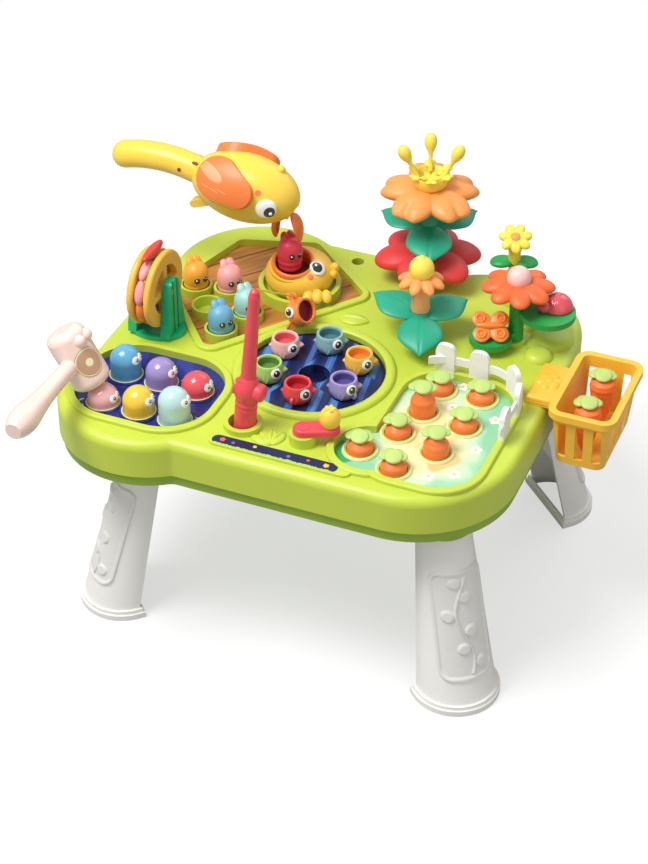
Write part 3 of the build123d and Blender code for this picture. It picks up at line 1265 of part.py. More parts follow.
def make_trigger():
    x, z = TRIGGER_PIVOT
    bar = Pos(-TRIGGER_LENGTH / 2, 0) * SlotOverall(TRIGGER_LENGTH, TRIGGER_THICKNESS)
    lever = Pos(x, z) * (Circle(KNUCKLE) + Rot(0, 0, TRIGGER_RAKE) * bar)
    blank = extrude(bird_plane(0) * lever, amount=TRIGGER_WIDTH / 2, both=True)
    return blank - pin_hole(TRIGGER_PIVOT, TRIGGER_WIDTH)


def make_wings():
    axis = Pos(BIRD_CENTRE[0], BIRD_AXIS_Y, BIRD_CENTRE[1]) * Rot(0, 90 + BIRD_NOD, 0)
    wings = []
    for side in (-1, 1):
        rounds = Pos(*WING_CENTRE) * Circle(WING_RADIUS) + Pos(*WING_TIP) * Circle(WING_TIP_RADIUS)
        outline = make_hull(rounds.edges())
        blank = extrude(bird_plane(0) * outline, amount=-side * 2 * BIRD_RADIUS)
        wing = (blank & bird_egg(WING_THICKNESS)) - bird_egg(SEAT_GAP)
        wings.append(axis * Rot(0, 0, side * WING_RAISE) * axis.inverse() * wing)
    return Compound(children=wings)


def build():
    for name, corner in CORNERS.items():
        keep("leg_" + name, make_leg(corner))
    keep("bottom_tray", make_tray())
    keep("case_screws", make_screws())
    keep("top_shell", make_top_shell())
    keep("deck_panel", make_deck_panel())
    keep("mole_panel", make_mole_panel())
    keep("carrot_panel", make_patch_panel())
    keep("fence", make_fence())
    keep("wheel_stand", make_stand())
    keep("wheel_buns", make_buns())
    keep("wheel_fillings", make_fillings())
    keep("chick_body", make_chick())
    keep("chick_mouth", make_mouth())
    keep("pond_disc", make_pond())
    keep("crank_arm", make_crank_arm())
    keep("crank_knob", make_crank_knob())
    keep("crank_gear", make_crank_gear())
    for index, name in enumerate(FISH_NAMES):
        keep(name, make_fish(index))
    keep("fishing_rod", make_rod())
    keep("fishing_line", make_line())
    keep("hooked_fish", make_hooked_fish())
    for name, place, drop in zip(MOLE_NAMES, mole_places(), MOLE_DROPS):
        keep(name, make_mole(place, drop))
    keep("mole_springs", make_springs())
    keep("hammer", make_hammer())
    for name, place in zip(WORM_NAMES, WORM_CUPS):
        keep(name, make_worm(place, FLOOR_Z))
    keep("red_worm", make_worm((BEAK_PIVOT[0], BIRD_AXIS_Y), MOUTH_FLOOR_Z))
    keep("bird_body", make_bird_body())
    keep("bird_wings", make_wings())
    keep("beak_rear", make_beak(-1))
    keep("beak_front", make_beak(1))
    keep("bird_trigger", make_trigger())
    keep("carrots", make_carrots())
    keep("red_flower", make_red_flower())
    keep("leaf_ring", make_leaf_ring())
    keep("peach_flower", make_peach_flower())
    keep("stamen_cup", make_stamen_cup())
    keep("leaf_trio", make_leaf_trio())
    keep("bud_flower", make_bud_flower())
    keep("garden_stem", make_garden_stem())
    keep("leaf_bugs", make_leaf_bugs())
    keep("daisy_flower", make_daisy())
    keep("back_flower", make_back_flower())
    keep("basket", make_basket())
    keep("basket_carrots", make_basket_carrots())


build()
os.makedirs("parts", exist_ok=True)
for node, solid in NODES.items():
    export_step(solid, f"parts/{node}.step")
start, end = line_points()
print("fishing line", round(math.dist(start, end), 1), "mm long, one straight run, no bends")
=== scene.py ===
import bpy
import math
from mathutils import Matrix, Vector


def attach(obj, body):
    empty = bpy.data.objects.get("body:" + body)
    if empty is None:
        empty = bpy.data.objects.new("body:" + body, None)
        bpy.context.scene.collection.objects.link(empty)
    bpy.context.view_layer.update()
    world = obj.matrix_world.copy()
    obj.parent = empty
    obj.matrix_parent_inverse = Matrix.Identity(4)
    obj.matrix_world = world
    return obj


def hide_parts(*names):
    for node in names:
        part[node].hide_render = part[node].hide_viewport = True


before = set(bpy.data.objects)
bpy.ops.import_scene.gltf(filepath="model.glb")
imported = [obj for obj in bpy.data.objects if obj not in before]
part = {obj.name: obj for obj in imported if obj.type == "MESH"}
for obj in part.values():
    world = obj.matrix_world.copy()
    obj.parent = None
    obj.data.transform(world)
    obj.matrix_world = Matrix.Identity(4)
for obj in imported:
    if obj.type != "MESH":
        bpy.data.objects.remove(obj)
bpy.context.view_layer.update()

# The room: a pale floor and soft studio light. The camera looks down on the table from the front
# and a little from the right, as in the photograph.
scene = bpy.context.scene
scene.view_settings.view_transform = "Standard"
bpy.ops.object.select_all(action="DESELECT")
bpy.ops.object.camera_add(location=(0.650, -1.6245, 1.4654))
camera = bpy.context.object
camera.name = "photo_camera"
look = Vector((-0.0212, 0.0, 0.1423)) - camera.location
camera.rotation_euler = look.to_track_quat("-Z", "Y").to_euler()
camera.data.lens = 91.67
scene.camera = camera

room = bpy.data.worlds.new("studio_room")
room.use_nodes = True
scene.world = room
sky = room.node_tree
soft = sky.nodes["Background"]
soft.inputs["Color"].default_value = (1.0, 1.0, 1.0, 1.0)
soft.inputs["Strength"].default_value = 0.50
white = sky.nodes.new("ShaderNodeBackground")
rays = sky.nodes.new("ShaderNodeLightPath")
seen = sky.nodes.new("ShaderNodeMixShader")
sky.links.new(rays.outputs["Is Camera Ray"], seen.inputs["Fac"])
sky.links.new(soft.outputs["Background"], seen.inputs[1])
sky.links.new(white.outputs["Background"], seen.inputs[2])
sky.links.new(seen.outputs["Shader"], sky.nodes["World Output"].inputs["Surface"])
for lamp_name, spot, power, width in (
    ("key_lamp", (-0.7, -0.75, 2.15), 46.0, 1.0),
    ("fill_lamp", (1.6, -1.0, 1.3), 3.5, 1.6),
    ("back_lamp", (0.4, 1.7, 1.6), 8.0, 1.4),
):
    bpy.ops.object.light_add(type="AREA", location=spot)
    lamp = bpy.context.object
    lamp.name = lamp_name
    lamp.data.energy = power
    lamp.data.size = width
    lamp.rotation_euler = (Vector((0, 0, 0.22)) - lamp.location).to_track_quat("-Z", "Y").to_euler()

bpy.ops.mesh.primitive_plane_add(size=12)
floor = bpy.context.object
floor.name = "pale_floor"
floor_finish = bpy.data.materials.new("pale_floor")
floor_finish.use_nodes = True
floor_shader = floor_finish.node_tree.nodes["Principled BSDF"]
floor_shader.inputs["Base Color"].default_value = (0.42, 0.42, 0.42, 1)
floor_shader.inputs["Roughness"].default_value = 0.9
floor_shader.inputs["Emission Color"].default_value = (1.0, 1.0, 1.0, 1)
floor_rays = floor_finish.node_tree.nodes.new("ShaderNodeLightPath")
floor_glow = floor_finish.node_tree.nodes.new("ShaderNodeMath")
floor_glow.operation = "MULTIPLY"
floor_glow.inputs[1].default_value = 0.56
floor_finish.node_tree.links.new(floor_rays.outputs["Is Camera Ray"], floor_glow.inputs[0])
floor_finish.node_tree.links.new(floor_glow.outputs["Value"], floor_shader.inputs["Emission Strength"])
floor.data.materials.append(floor_finish)


# Legs: four white half-round shells, moulded in one piece each and pushed up into the sockets of
# the tray. A framed panel with a climbing vine is raised on the round side.
def hue(code):
    """A colour written as red, green and blue in hex, as the shader needs it."""
    values = [int(code[i:i + 2], 16) / 255 for i in (0, 2, 4)]
    return [v / 12.92 if v <= 0.04045 else ((v + 0.055) / 1.055) ** 2.4 for v in values] + [1.0]


def new_node(tree, kind, **settings):
    item = tree.nodes.new(kind)
    for key, value in settings.items():
        if key in item.inputs:
            item.inputs[key].default_value = value
        else:
            setattr(item, key, value)
    return item


def figure(tree, operation, *values):
    """A sum on values over the surface; each is a number or the socket that it comes from."""
    item = new_node(tree, "ShaderNodeMath", operation=operation)
    for count, value in enumerate(values):
        if isinstance(value, (int, float)):
            item.inputs[count].default_value = value
        else:
            tree.links.new(value, item.inputs[count])
    return item.outputs["Value"]


def moulded_skin():
    """Cloudy tone, uneven shine and fine grain of injection-moulded plastic."""
    group = bpy.data.node_groups.new("moulded_skin", "ShaderNodeTree")
    for label, kind in (("Colour", "Color"), ("Mottle", "Float"), ("Roughness", "Float"), ("Grain", "Float")):
        group.interface.new_socket(label, in_out="INPUT", socket_type="NodeSocket" + kind)
    for label, kind in (("Colour", "Color"), ("Roughness", "Float"), ("Height", "Float")):
        group.interface.new_socket(label, in_out="OUTPUT", socket_type="NodeSocket" + kind)
    source = group.nodes.new("NodeGroupInput")
    result = group.nodes.new("NodeGroupOutput")
    coords = group.nodes.new("ShaderNodeTexCoord")
    cloud = new_node(group, "ShaderNodeTexNoise", Scale=16.0, Detail=3.0)
    fine = new_node(group, "ShaderNodeTexNoise", Detail=2.0)
    centred = figure(group, "SUBTRACT", cloud.outputs["Fac"], 0.5)
    tone = figure(group, "MULTIPLY_ADD", centred, source.outputs["Mottle"], 1.0)
    shine = figure(group, "MULTIPLY_ADD", centred, 0.22, source.outputs["Roughness"])
    shade = group.nodes.new("ShaderNodeHueSaturation")
    wire = group.links.new
    wire(coords.outputs["Object"], cloud.inputs["Vector"])
    wire(coords.outputs["Object"], fine.inputs["Vector"])
    wire(source.outputs["Grain"], fine.inputs["Scale"])
    wire(source.outputs["Colour"], shade.inputs["Color"])
    wire(tone, shade.inputs["Value"])
    wire(shade.outputs["Color"], result.inputs["Colour"])
    wire(shine, result.inputs["Roughness"])
    wire(fine.outputs["Fac"], result.inputs["Height"])
    return group


skin_group = moulded_skin()


def plastic(name, colour, rough=0.36, mottle=0.22, grain=900.0, relief=0.10, coat=0.0):
    """A moulded plastic finish; the node named skin takes a pattern on its Colour."""
    finish = bpy.data.materials.new(name)
    finish.use_nodes = True
    tree = finish.node_tree
    shader = tree.nodes["Principled BSDF"]
    skin = tree.nodes.new("ShaderNodeGroup")
    skin.node_tree = skin_group
    skin.name = "skin"
    skin.inputs["Colour"].default_value = hue(colour)
    skin.inputs["Mottle"].default_value = mottle
    skin.inputs["Roughness"].default_value = rough
    skin.inputs["Grain"].default_value = grain
    bump = new_node(tree, "ShaderNodeBump", Strength=relief, Distance=0.0004)
    bump.name = "grain"
    shader.inputs["Coat Weight"].default_value = coat
    tree.links.new(skin.outputs["Colour"], shader.inputs["Base Color"])
    tree.links.new(skin.outputs["Roughness"], shader.inputs["Roughness"])
    tree.links.new(skin.outputs["Height"], bump.inputs["Height"])
    tree.links.new(bump.outputs["Normal"], shader.inputs["Normal"])
    return finish


def paint(names, finish):
    for label in names:
        part[label].data.materials.clear()
        part[label].data.materials.append(finish)


def fresh():
    if bpy.context.object and bpy.context.object.mode != "OBJECT":
        bpy.ops.object.mode_set(mode="OBJECT")
    bpy.ops.object.select_all(action="DESELECT")


def pick(piece):
    fresh()
    piece.select_set(True)
    bpy.context.view_layer.objects.active = piece


def settle(piece, name, body, finish=None, smooth=40):
    """Fixes a shaped piece where it stands, gives it its finish and lets it ride on a body."""
    pick(piece)
    bpy.ops.object.transform_apply(location=True, rotation=True, scale=True)
    bpy.ops.object.shade_smooth_by_angle(angle=math.radians(smooth))
    piece.name = name
    piece.data.name = name
    if finish:
        piece.data.materials.clear()
        piece.data.materials.append(finish)
    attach(piece, body)
    return piece


def step(low, high, value):
    t = min(1.0, max(0.0, (value - low) / (high - low)))
    return t * t * (3 - 2 * t)


leg_white = plastic("leg_white", "F3F1EC", rough=0.42, mottle=0.10)
# The panel is a slightly greyer copy of the leg white, painted shade on the relief.
panel_painted_shade = plastic("leg_panel_painted_shade", "E8E6E1", rough=0.46, mottle=0.10)
paint(["leg_front_left", "leg_front_right", "leg_back_left", "leg_back_right"], leg_white)
leg_foot, leg_rise = 10, 168
foot_x, foot_y, foot_radius = 177, 151, 39
lean_x, lean_y, taper = 27, 23, 13
panel_foot, panel_half_width, panel_half_height = 32, 33, 58
frame_half_width, frame_half_height, frame_round = 30, 55, 12
panel_sink, frame_rise, field_drop, vine_rise = 0.5, 2.3, 1.6, 1.8
vine_swing, vine_wave, leaf_aside, leaf_half_width = 7, 15, 8, 6.5
vine_leaves = ((16, 1, 12), (33, -1, 12), (50, 1, 13), (67, -1, 13), (84, 1, 12), (99, -1, 10))
for corner_name, corner in (
    ("front_left", (-1, -1)), ("front_right", (1, -1)), ("back_left", (-1, 1)), ("back_right", (1, 1)),
):
    fresh()
    bpy.ops.mesh.primitive_grid_add(x_subdivisions=90, y_subdivisions=130, size=2)
    panel = bpy.context.object
    outward = Vector((corner[0], corner[1], 0)).normalized()
    across = Vector((0, 0, 1)).cross(outward)
    for v in panel.data.vertices:
        sideways = v.co.x * panel_half_width
        up = (v.co.y + 1) * panel_half_height
        height = panel_foot + up
        share = (height - leg_foot) / leg_rise
        middle_x = corner[0] * (foot_x - lean_x * share)
        middle_y = corner[1] * (foot_y - lean_y * share)
        centre = Vector((middle_x, middle_y, height))
        radius = foot_radius - taper * share
        past_side = max(abs(sideways) - (frame_half_width - frame_round), 0)
        past_end = max(abs(up - panel_half_height) - (frame_half_height - frame_round), 0)
        edge = math.hypot(past_side, past_end) - frame_round
        proud = frame_rise * step(0.8, -0.8, edge) - field_drop * step(-3.0, -4.2, edge) - panel_sink
        bend = vine_swing * math.sin(up / vine_wave)
        motif = step(1.5, 0.6, abs(sideways - bend)) * step(-5, -6, edge)
        for leaf_up, leaf_side, leaf_length in vine_leaves:
            leaf_middle = vine_swing * math.sin(leaf_up / vine_wave) + leaf_side * leaf_aside
            away = (sideways - leaf_middle) / leaf_half_width
            above = (up - leaf_up - 2) / (leaf_length * 0.45)
            motif = max(motif, step(1.1, 0.8, math.hypot(away, above)))
        proud += vine_rise * motif * step(-3.6, -5, edge)
        turn = sideways / radius
        v.co = (centre + (radius + proud) * (outward * math.cos(turn) + across * math.sin(turn))) / 1000
    pick(panel)
    bpy.ops.object.mode_set(mode="EDIT")
    bpy.ops.mesh.select_all(action="SELECT")
    bpy.ops.mesh.flip_normals()
    bpy.ops.object.mode_set(mode="OBJECT")
    settle(panel, "leg_panel_" + corner_name, "table", panel_painted_shade, smooth=50)


# Tray and its screws: the darker green lower half of the case, one moulding with the sockets of the
# legs, closed from below with six plated screws.
paint(["bottom_tray"], plastic("tray_green", "8FAE2E", rough=0.44))
screw_metal = plastic("screw_metal", "B4B4B0", rough=0.34, mottle=0.35, grain=2200.0)
screw_metal.node_tree.nodes["Principled BSDF"].inputs["Metallic"].default_value = 1.0
paint(["case_screws"], screw_metal)


# Top shell: the thick light green upper half of the case, one large moulding with the borders,
# cups, nest and sockets on it. Low leaves, a leaf fan and a hedge are raised on its top.
shell_green = plastic("shell_green", "C2D345", rough=0.40, mottle=0.12, grain=700.0, relief=0.14)
paint(["top_shell"], shell_green)


def blade(
    length, width, thick, point=0.5, fold=0.0, droop=0.0, notch=0.0, groove=0.0, slit=0.25, crease=-0.8,
    rings=28, ribs=24,
):
    """A leaf or petal along +X from the origin, in millimetres: a ball drawn out, pointed, folded."""
    fresh()
    bpy.ops.mesh.primitive_uv_sphere_add(segments=ribs, ring_count=rings, radius=1)
    piece = bpy.context.object
    for v in piece.data.vertices:
        along, side, rise = v.co.z, v.co.x, v.co.y
        taper = 1 - point * max(0.0, along) ** 2
        y = side * width / 2 * taper
        z = rise * thick / 2
        x = length * (along + 1) / 2
        middle = max(0.0, 1 - abs(y) / (0.30 * width))
        x -= notch * middle * step(0.1, 0.95, along)
        if rise > 0:
            z -= groove * step(slit, 0.0, abs(y) / width) * step(crease - 0.1, crease + 0.3, along)
        z += fold * abs(y) - droop * (x / length) ** 2
        v.co = (x / 1000, y / 1000, z / 1000)
    pick(piece)
    bpy.ops.object.mode_set(mode="EDIT")
    bpy.ops.mesh.select_all(action="SELECT")
    bpy.ops.mesh.normals_make_consistent(inside=False)
    bpy.ops.object.mode_set(mode="OBJECT")
    return piece


def copy_at(model, move):
    """A copy of a shaped piece with its own mesh, set down by a matrix."""
    twin = model.copy()
    twin.data = model.data.copy()
    twin.data.transform(move)
    scene.collection.objects.link(twin)
    return twin


def put(x, y, z, turn=0.0, tilt=0.0, roll=0.0):
    """The matrix for a place in millimetres, a turn about Z, a tilt about Y and a roll about X."""
    place = Matrix.Translation(Vector((x, y, z)) / 1000)
    angles = Matrix.Rotation(math.radians(turn), 4, "Z") @ Matrix.Rotation(math.radians(tilt), 4, "Y")
    return place @ angles @ Matrix.Rotation(math.radians(roll), 4, "X")


def drop(*pieces):
    for piece in pieces:
        bpy.data.objects.remove(piece)


def join(pieces):
    fresh()
    for piece in pieces:
        piece.select_set(True)
    bpy.context.view_layer.objects.active = pieces[0]
    bpy.ops.object.join()
    return bpy.context.object


broad_leaf = blade(31, 20, 7.0, point=0.55, groove=1.5, slit=0.06, rings=32, ribs=40)
pond_leaf = copy_at(broad_leaf, put(-30, 61, 240.7, turn=5))
settle(pond_leaf, "shell_leaf_pond", "table", shell_green, smooth=60)
leaflet = blade(23, 12, 6.4, point=0.5, groove=1.5, slit=0.08, rings=32, ribs=40)
fan = [copy_at(leaflet, put(-9, -157, 240.5, turn=turn)) for turn in (168, 138, 108, 78)]
settle(join(fan), "shell_leaf_front", "table", shell_green, smooth=60)
drop(broad_leaf, leaflet)


def turned(profile, steps=40):
    """A piece turned about Z from (radius, height) points in millimetres."""
    fresh()
    bpy.ops.mesh.primitive_plane_add(size=0.001)
    bpy.ops.object.mode_set(mode="EDIT")
    bpy.ops.mesh.select_all(action="SELECT")
    bpy.ops.mesh.merge(type="CENTER")
    here = Vector((profile[0][0], 0, profile[0][1])) / 1000
    bpy.ops.transform.translate(value=here)
    for radius, height in profile[1:]:
        there = Vector((radius, 0, height)) / 1000
        bpy.ops.mesh.extrude_region_move(TRANSFORM_OT_translate={"value": there - here})
        here = there
    bpy.ops.mesh.select_all(action="SELECT")
    bpy.ops.mesh.spin(steps=steps, angle=math.tau, center=(0, 0, 0), axis=(0, 0, 1))
    bpy.ops.mesh.select_all(action="SELECT")
    bpy.ops.mesh.remove_doubles(threshold=0.000005)
    bpy.ops.mesh.normals_make_consistent(inside=False)
    bpy.ops.object.mode_set(mode="OBJECT")
    return bpy.context.object


bushes = ((150, 128, 21, 246), (178, 104, 22, 249), (168, 90, 13, 246), (174, 71, 15, 248))
rounding = ((8.5, 0.4), (5.0, 1.5), (2.2, 3.8), (0.5, 7.2), (0.0, 12.0))
hedge = []
for x, y, radius, top in bushes:
    bush = turned([(0, top)] + [(radius - inward, top - below) for inward, below in rounding], steps=48)
    hedge.append(copy_at(bush, put(x, y, 0)))
    drop(bush)
settle(join(hedge), "shell_hedge", "table", shell_green, smooth=60)


# Label strip: a navy foil with round ends and a ragged pale green lower edge, stuck on the front
# plate of the shell. Six small blossoms are raised on it.
strip_y, strip_z = -0.1701, 0.2423
fresh()
bpy.ops.mesh.primitive_cube_add(size=1, location=(0, strip_y, strip_z), scale=(0.124, 0.0125, 0.0012))
strip = bpy.context.object
bpy.ops.object.transform_apply(location=True, scale=True)
bpy.ops.object.mode_set(mode="EDIT")
bpy.ops.mesh.select_mode(type="EDGE")
bpy.ops.mesh.select_all(action="DESELECT")
bpy.ops.object.mode_set(mode="OBJECT")
for edge in strip.data.edges:
    ends = [strip.data.vertices[index].co.z for index in edge.vertices]
    edge.select = abs(ends[0] - ends[1]) > 0.0005
bpy.ops.object.mode_set(mode="EDIT")
bpy.ops.mesh.bevel(offset=0.0058, segments=8, affect="EDGES")
bpy.ops.mesh.select_mode(type="VERT")
bpy.ops.object.mode_set(mode="OBJECT")


def mask(tree, value, low, high):
    """A value stretched so that low becomes nought and high becomes one, and cut off there."""
    item = new_node(tree, "ShaderNodeMapRange", **{"From Min": low, "From Max": high})
    tree.links.new(value, item.inputs["Value"])
    return item.outputs["Result"]


def ramp(tree, value, stops, easing="LINEAR"):
    """Colours along a value: stops are (place, hex)."""
    band = tree.nodes.new("ShaderNodeValToRGB")
    band.color_ramp.interpolation = easing
    while len(band.color_ramp.elements) < len(stops):
        band.color_ramp.elements.new(0.5)
    for item, (place, code) in zip(band.color_ramp.elements, stops):
        item.position = place
        item.color = hue(code)
    tree.links.new(value, band.inputs["Fac"])
    return band.outputs["Color"]


strip_finish = plastic("strip_navy", "1D2352", rough=0.30)
tree = strip_finish.node_tree
coords = tree.nodes.new("ShaderNodeTexCoord")
spread = tree.nodes.new("ShaderNodeSeparateXYZ")
tree.links.new(coords.outputs["Object"], spread.inputs["Vector"])
grass = new_node(tree, "ShaderNodeTexNoise", Scale=420.0, Detail=2.0)
tree.links.new(coords.outputs["Object"], grass.inputs["Vector"])
off_middle = figure(tree, "SUBTRACT", spread.outputs["Y"], strip_y)
ragged = figure(tree, "MULTIPLY_ADD", grass.outputs["Fac"], 0.004, off_middle)
strip_inks = ramp(tree, mask(tree, ragged, -0.0028, -0.0034), ((0.0, "1D2352"), (1.0, "B4CF8C")))
tree.links.new(strip_inks, tree.nodes["skin"].inputs["Colour"])
settle(strip, "label_strip", "table", strip_finish)
blossom_finish = {
    "coral": plastic("blossom_coral", "E8623F", rough=0.34),
    "violet": plastic("blossom_violet", "8A63B8", rough=0.34),
    "gold": plastic("blossom_gold", "F2C14B", rough=0.34),
}
blossoms = []
for x, y, size, label in (
    (-52, -169.2, 1.0, "coral"), (-41, -170.4, 0.6, "violet"), (-20, -168.6, 0.7, "gold"),
    (14, -170.0, 0.7, "violet"), (33, -168.8, 0.6, "coral"), (51, -169.6, 1.0, "gold"),
):
    ray = blade(3.0 * size, 2.5 * size, 0.5, point=-0.1, rings=10, ribs=12)
    ray.data.materials.append(blossom_finish[label])
    blossoms += [copy_at(ray, put(x, y, 242.9, turn=72 * k + x)) for k in range(5)]
    drop(ray)
settle(join(blossoms), "strip_blossoms", "table", smooth=60)


# Deck panel: a brown plastic sheet, printed as wooden boards with dark joints. It is dropped into the
# back left border of the shell.
def turned_coords(tree, x, y, turn):
    """Object coordinates centred on a place in millimetres and turned about Z."""
    coords = tree.nodes.new("ShaderNodeTexCoord")
    mapping = new_node(tree, "ShaderNodeMapping", vector_type="TEXTURE")
    mapping.inputs["Location"].default_value = (x / 1000, y / 1000, 0.236)
    mapping.inputs["Rotation"].default_value = (0, 0, math.radians(turn))
    tree.links.new(coords.outputs["Object"], mapping.inputs["Vector"])
    return mapping.outputs["Vector"]


def stretched(tree, vector, factors):
    item = new_node(tree, "ShaderNodeVectorMath", operation="MULTIPLY")
    item.inputs[1].default_value = factors
    tree.links.new(vector, item.inputs[0])
    return item.outputs["Vector"]


def overprint(tree, share, ground, code):
    """A ground colour that gives way to an ink, written in hex, where the share is one."""
    mixer = new_node(tree, "ShaderNodeMix", data_type="RGBA")
    mixer.inputs[7].default_value = hue(code)
    tree.links.new(share, mixer.inputs[0])
    tree.links.new(ground, mixer.inputs[6])
    return mixer.outputs[2]


deck_finish = plastic("deck_boards", "B87A33", rough=0.46)
tree = deck_finish.node_tree
boards = turned_coords(tree, -115, 65, 50)
grain = new_node(tree, "ShaderNodeTexNoise", Scale=1.0, Detail=4.0, Distortion=0.6)
tree.links.new(stretched(tree, boards, (14, 160, 1)), grain.inputs["Vector"])
wood = ramp(tree, grain.outputs["Fac"], ((0.3, "A0662A"), (0.5, "B87A33"), (0.72, "C98F45")))
lines = new_node(tree, "ShaderNodeTexWave", wave_type="BANDS", bands_direction="Y", Scale=9.5, Distortion=0.0)
tree.links.new(boards, lines.inputs["Vector"])
planks = overprint(tree, mask(tree, lines.outputs["Fac"], 0.972, 1.0), wood, "6F4218")
tree.links.new(planks, tree.nodes["skin"].inputs["Colour"])
paint(["deck_panel"], deck_finish)


# Mole panel: a blue plastic sheet printed with faint slanting shades, laid in the front left border. A
# thin cream ring with a small loop runs round each hole.
def water(name, deep, x, y, turn, scale, stops):
    """Slanting bands of ink across a printed sheet, broken up by a coarse cloud."""
    finish = plastic(name, deep, rough=0.24, mottle=0.12)
    tree = finish.node_tree
    flow = turned_coords(tree, x, y, turn)
    bands = new_node(tree, "ShaderNodeTexWave", wave_type="BANDS", Scale=scale, Distortion=0.0)
    bands.bands_direction = "X"
    tree.links.new(flow, bands.inputs["Vector"])
    cloud = new_node(tree, "ShaderNodeTexVoronoi", Scale=1.0)
    tree.links.new(stretched(tree, flow, (48, 19, 1)), cloud.inputs["Vector"])
    pieces = tree.nodes.new("ShaderNodeSeparateColor")
    tree.links.new(cloud.outputs["Color"], pieces.inputs["Color"])
    eased = figure(tree, "MULTIPLY", bands.outputs["Fac"], 0.55)
    mixed = figure(tree, "MULTIPLY_ADD", pieces.outputs["Red"], 0.45, eased)
    return finish, flow, ramp(tree, mixed, stops, easing="CONSTANT")


sheet_inks = ((0.0, "1E2768"), (0.25, "262F84"), (0.75, "2F3C93"))
mole_pond, flow, inks = water("mole_pond_print", "262F84", -151, -119, 20, 6.0, sheet_inks)
mole_pond.node_tree.links.new(inks, mole_pond.node_tree.nodes["skin"].inputs["Colour"])
paint(["mole_panel"], mole_pond)
cream = plastic("collar_cream", "EFEDAE", rough=0.36)
collar = turned(((15.5, 236.6), (15.5, 238.6), (15.8, 239.1), (16.4, 239.1), (16.7, 238.7), (16.8, 236.6)))
surround = turned(((16.6, 236.4), (16.6, 238.7), (18.3, 238.7), (18.7, 238.3), (19.2, 236.4)))
loop = turned(((4.0, 236.5), (4.1, 237.3), (4.7, 237.6), (5.3, 237.3), (5.4, 236.5)), steps=28)
mole_spots = {
    "pink": (-184, -152.5, 257.5), "yellow": (-146.5, -152.5, 264.5), "mint": (-109, -152.5, 273.5),
    "blue": (-184, -103.5, 269.5), "purple": (-146.5, -103.5, 264.5), "red": (-109, -103.5, 258.5),
}
loop_turn, loop_reach, tall_mole = math.radians(20), 18.6, 262
for shade_name, (x, y, top) in mole_spots.items():
    aside = 1 if top > tall_mole else -1
    out = Vector((math.cos(loop_turn), math.sin(loop_turn))) * aside * loop_reach
    ring = join([copy_at(collar, put(x, y, 0)), copy_at(loop, put(x + out.x, y + out.y, 0))])
    settle(ring, "mole_collar_" + shade_name, "table", cream)
    sheet = copy_at(surround, put(x, y, 0))
    settle(sheet, "mole_surround_" + shade_name, "table", mole_pond)
drop(collar, loop, surround)


# Carrot panel: a plastic sheet printed as a bed, pale green round a cream middle with soil and shrubs, laid
# in the front right border. Thin daisies lie on it, and a cream rim runs round each hole.
bed_finish = plastic("bed_print", "CFE3B4", rough=0.40)
tree = bed_finish.node_tree
bed = turned_coords(tree, 118, -82, 20)
reach = new_node(tree, "ShaderNodeVectorMath", operation="LENGTH")
tree.links.new(stretched(tree, bed, (16.0, 10.0, 0)), reach.inputs[0])
patches = new_node(tree, "ShaderNodeTexNoise", Scale=26.0, Detail=1.0, Distortion=0.5)
tree.links.new(bed, patches.inputs["Vector"])
sway = figure(tree, "MULTIPLY_ADD", patches.outputs["Fac"], 0.7, reach.outputs["Value"])
ground_inks = (
    (0.0, "F6EBA6"), (0.62, "F1DFA0"), (0.80, "F7F0B6"), (1.0, "CBE5BE"), (1.14, "A4D6B0"), (1.3, "8CCAA2"),
)
ink_scale = 0.7
ground_stops = [(place * ink_scale, code) for place, code in ground_inks]
ground = ramp(tree, figure(tree, "MULTIPLY", sway, ink_scale), ground_stops, easing="EASE")
soil = new_node(tree, "ShaderNodeTexNoise", Scale=17.0, Detail=0.5, Distortion=0.3)
tree.links.new(bed, soil.inputs["Vector"])
ground = overprint(tree, mask(tree, soil.outputs["Fac"], 0.60, 0.63), ground, "E8C586")
ground = overprint(tree, mask(tree, soil.outputs["Fac"], 0.36, 0.345), ground, "2FA564")
tree.links.new(ground, tree.nodes["skin"].inputs["Colour"])
paint(["carrot_panel"], bed_finish)
ray = blade(6.4, 5.2, 0.5, point=-0.1, rings=10, ribs=12)
ray.data.materials.append(plastic("daisy_white", "FBFBF6", rough=0.42, mottle=0.05))
dot = turned(((0, 0.5), (1.4, 0.45), (2.0, 0.1)), steps=16)
dot.data.materials.append(plastic("daisy_middle", "F0D24E", rough=0.42))
bed_top = 236.6
daisies = []
for x, y, turn in (
    (124, -34, 10), (168, -38, 40), (166, -88, 25), (115, -82, 0),
    (160, -130, 55), (139, -141, 15), (83, -66, 30), (122, 1, 20),
):
    daisies += [copy_at(ray, put(x, y, bed_top, turn=turn + 72 * k)) for k in range(5)]
    daisies.append(copy_at(dot, put(x, y, bed_top)))
settle(join(daisies), "bed_daisies", "table", smooth=60)
drop(ray, dot)
carrot_spots = (
    (68, -129, 12), (91, -92, 12), (101, -53, 26), (104, -13, 12),
    (145, -12, 12), (145, -60, 12), (134, -107, 20), (107, -145, 12),
)
hole_rim = turned(((14.6, 236.7), (14.6, 238.2), (15.2, 238.9), (16.4, 238.9), (17.1, 238.0), (17.3, 236.7)))
for count, (x, y, rise) in enumerate(carrot_spots, 1):
    settle(copy_at(hole_rim, put(x, y, 0)), f"carrot_rim_{count}", "table", cream)
drop(hole_rim)


# Fence: white plastic pickets on one rail, moulded in one strip. It stands on the border of the
# carrot bed.
paint(["fence"], plastic("fence_white", "F4F4F2", rough=0.40, mottle=0.10))


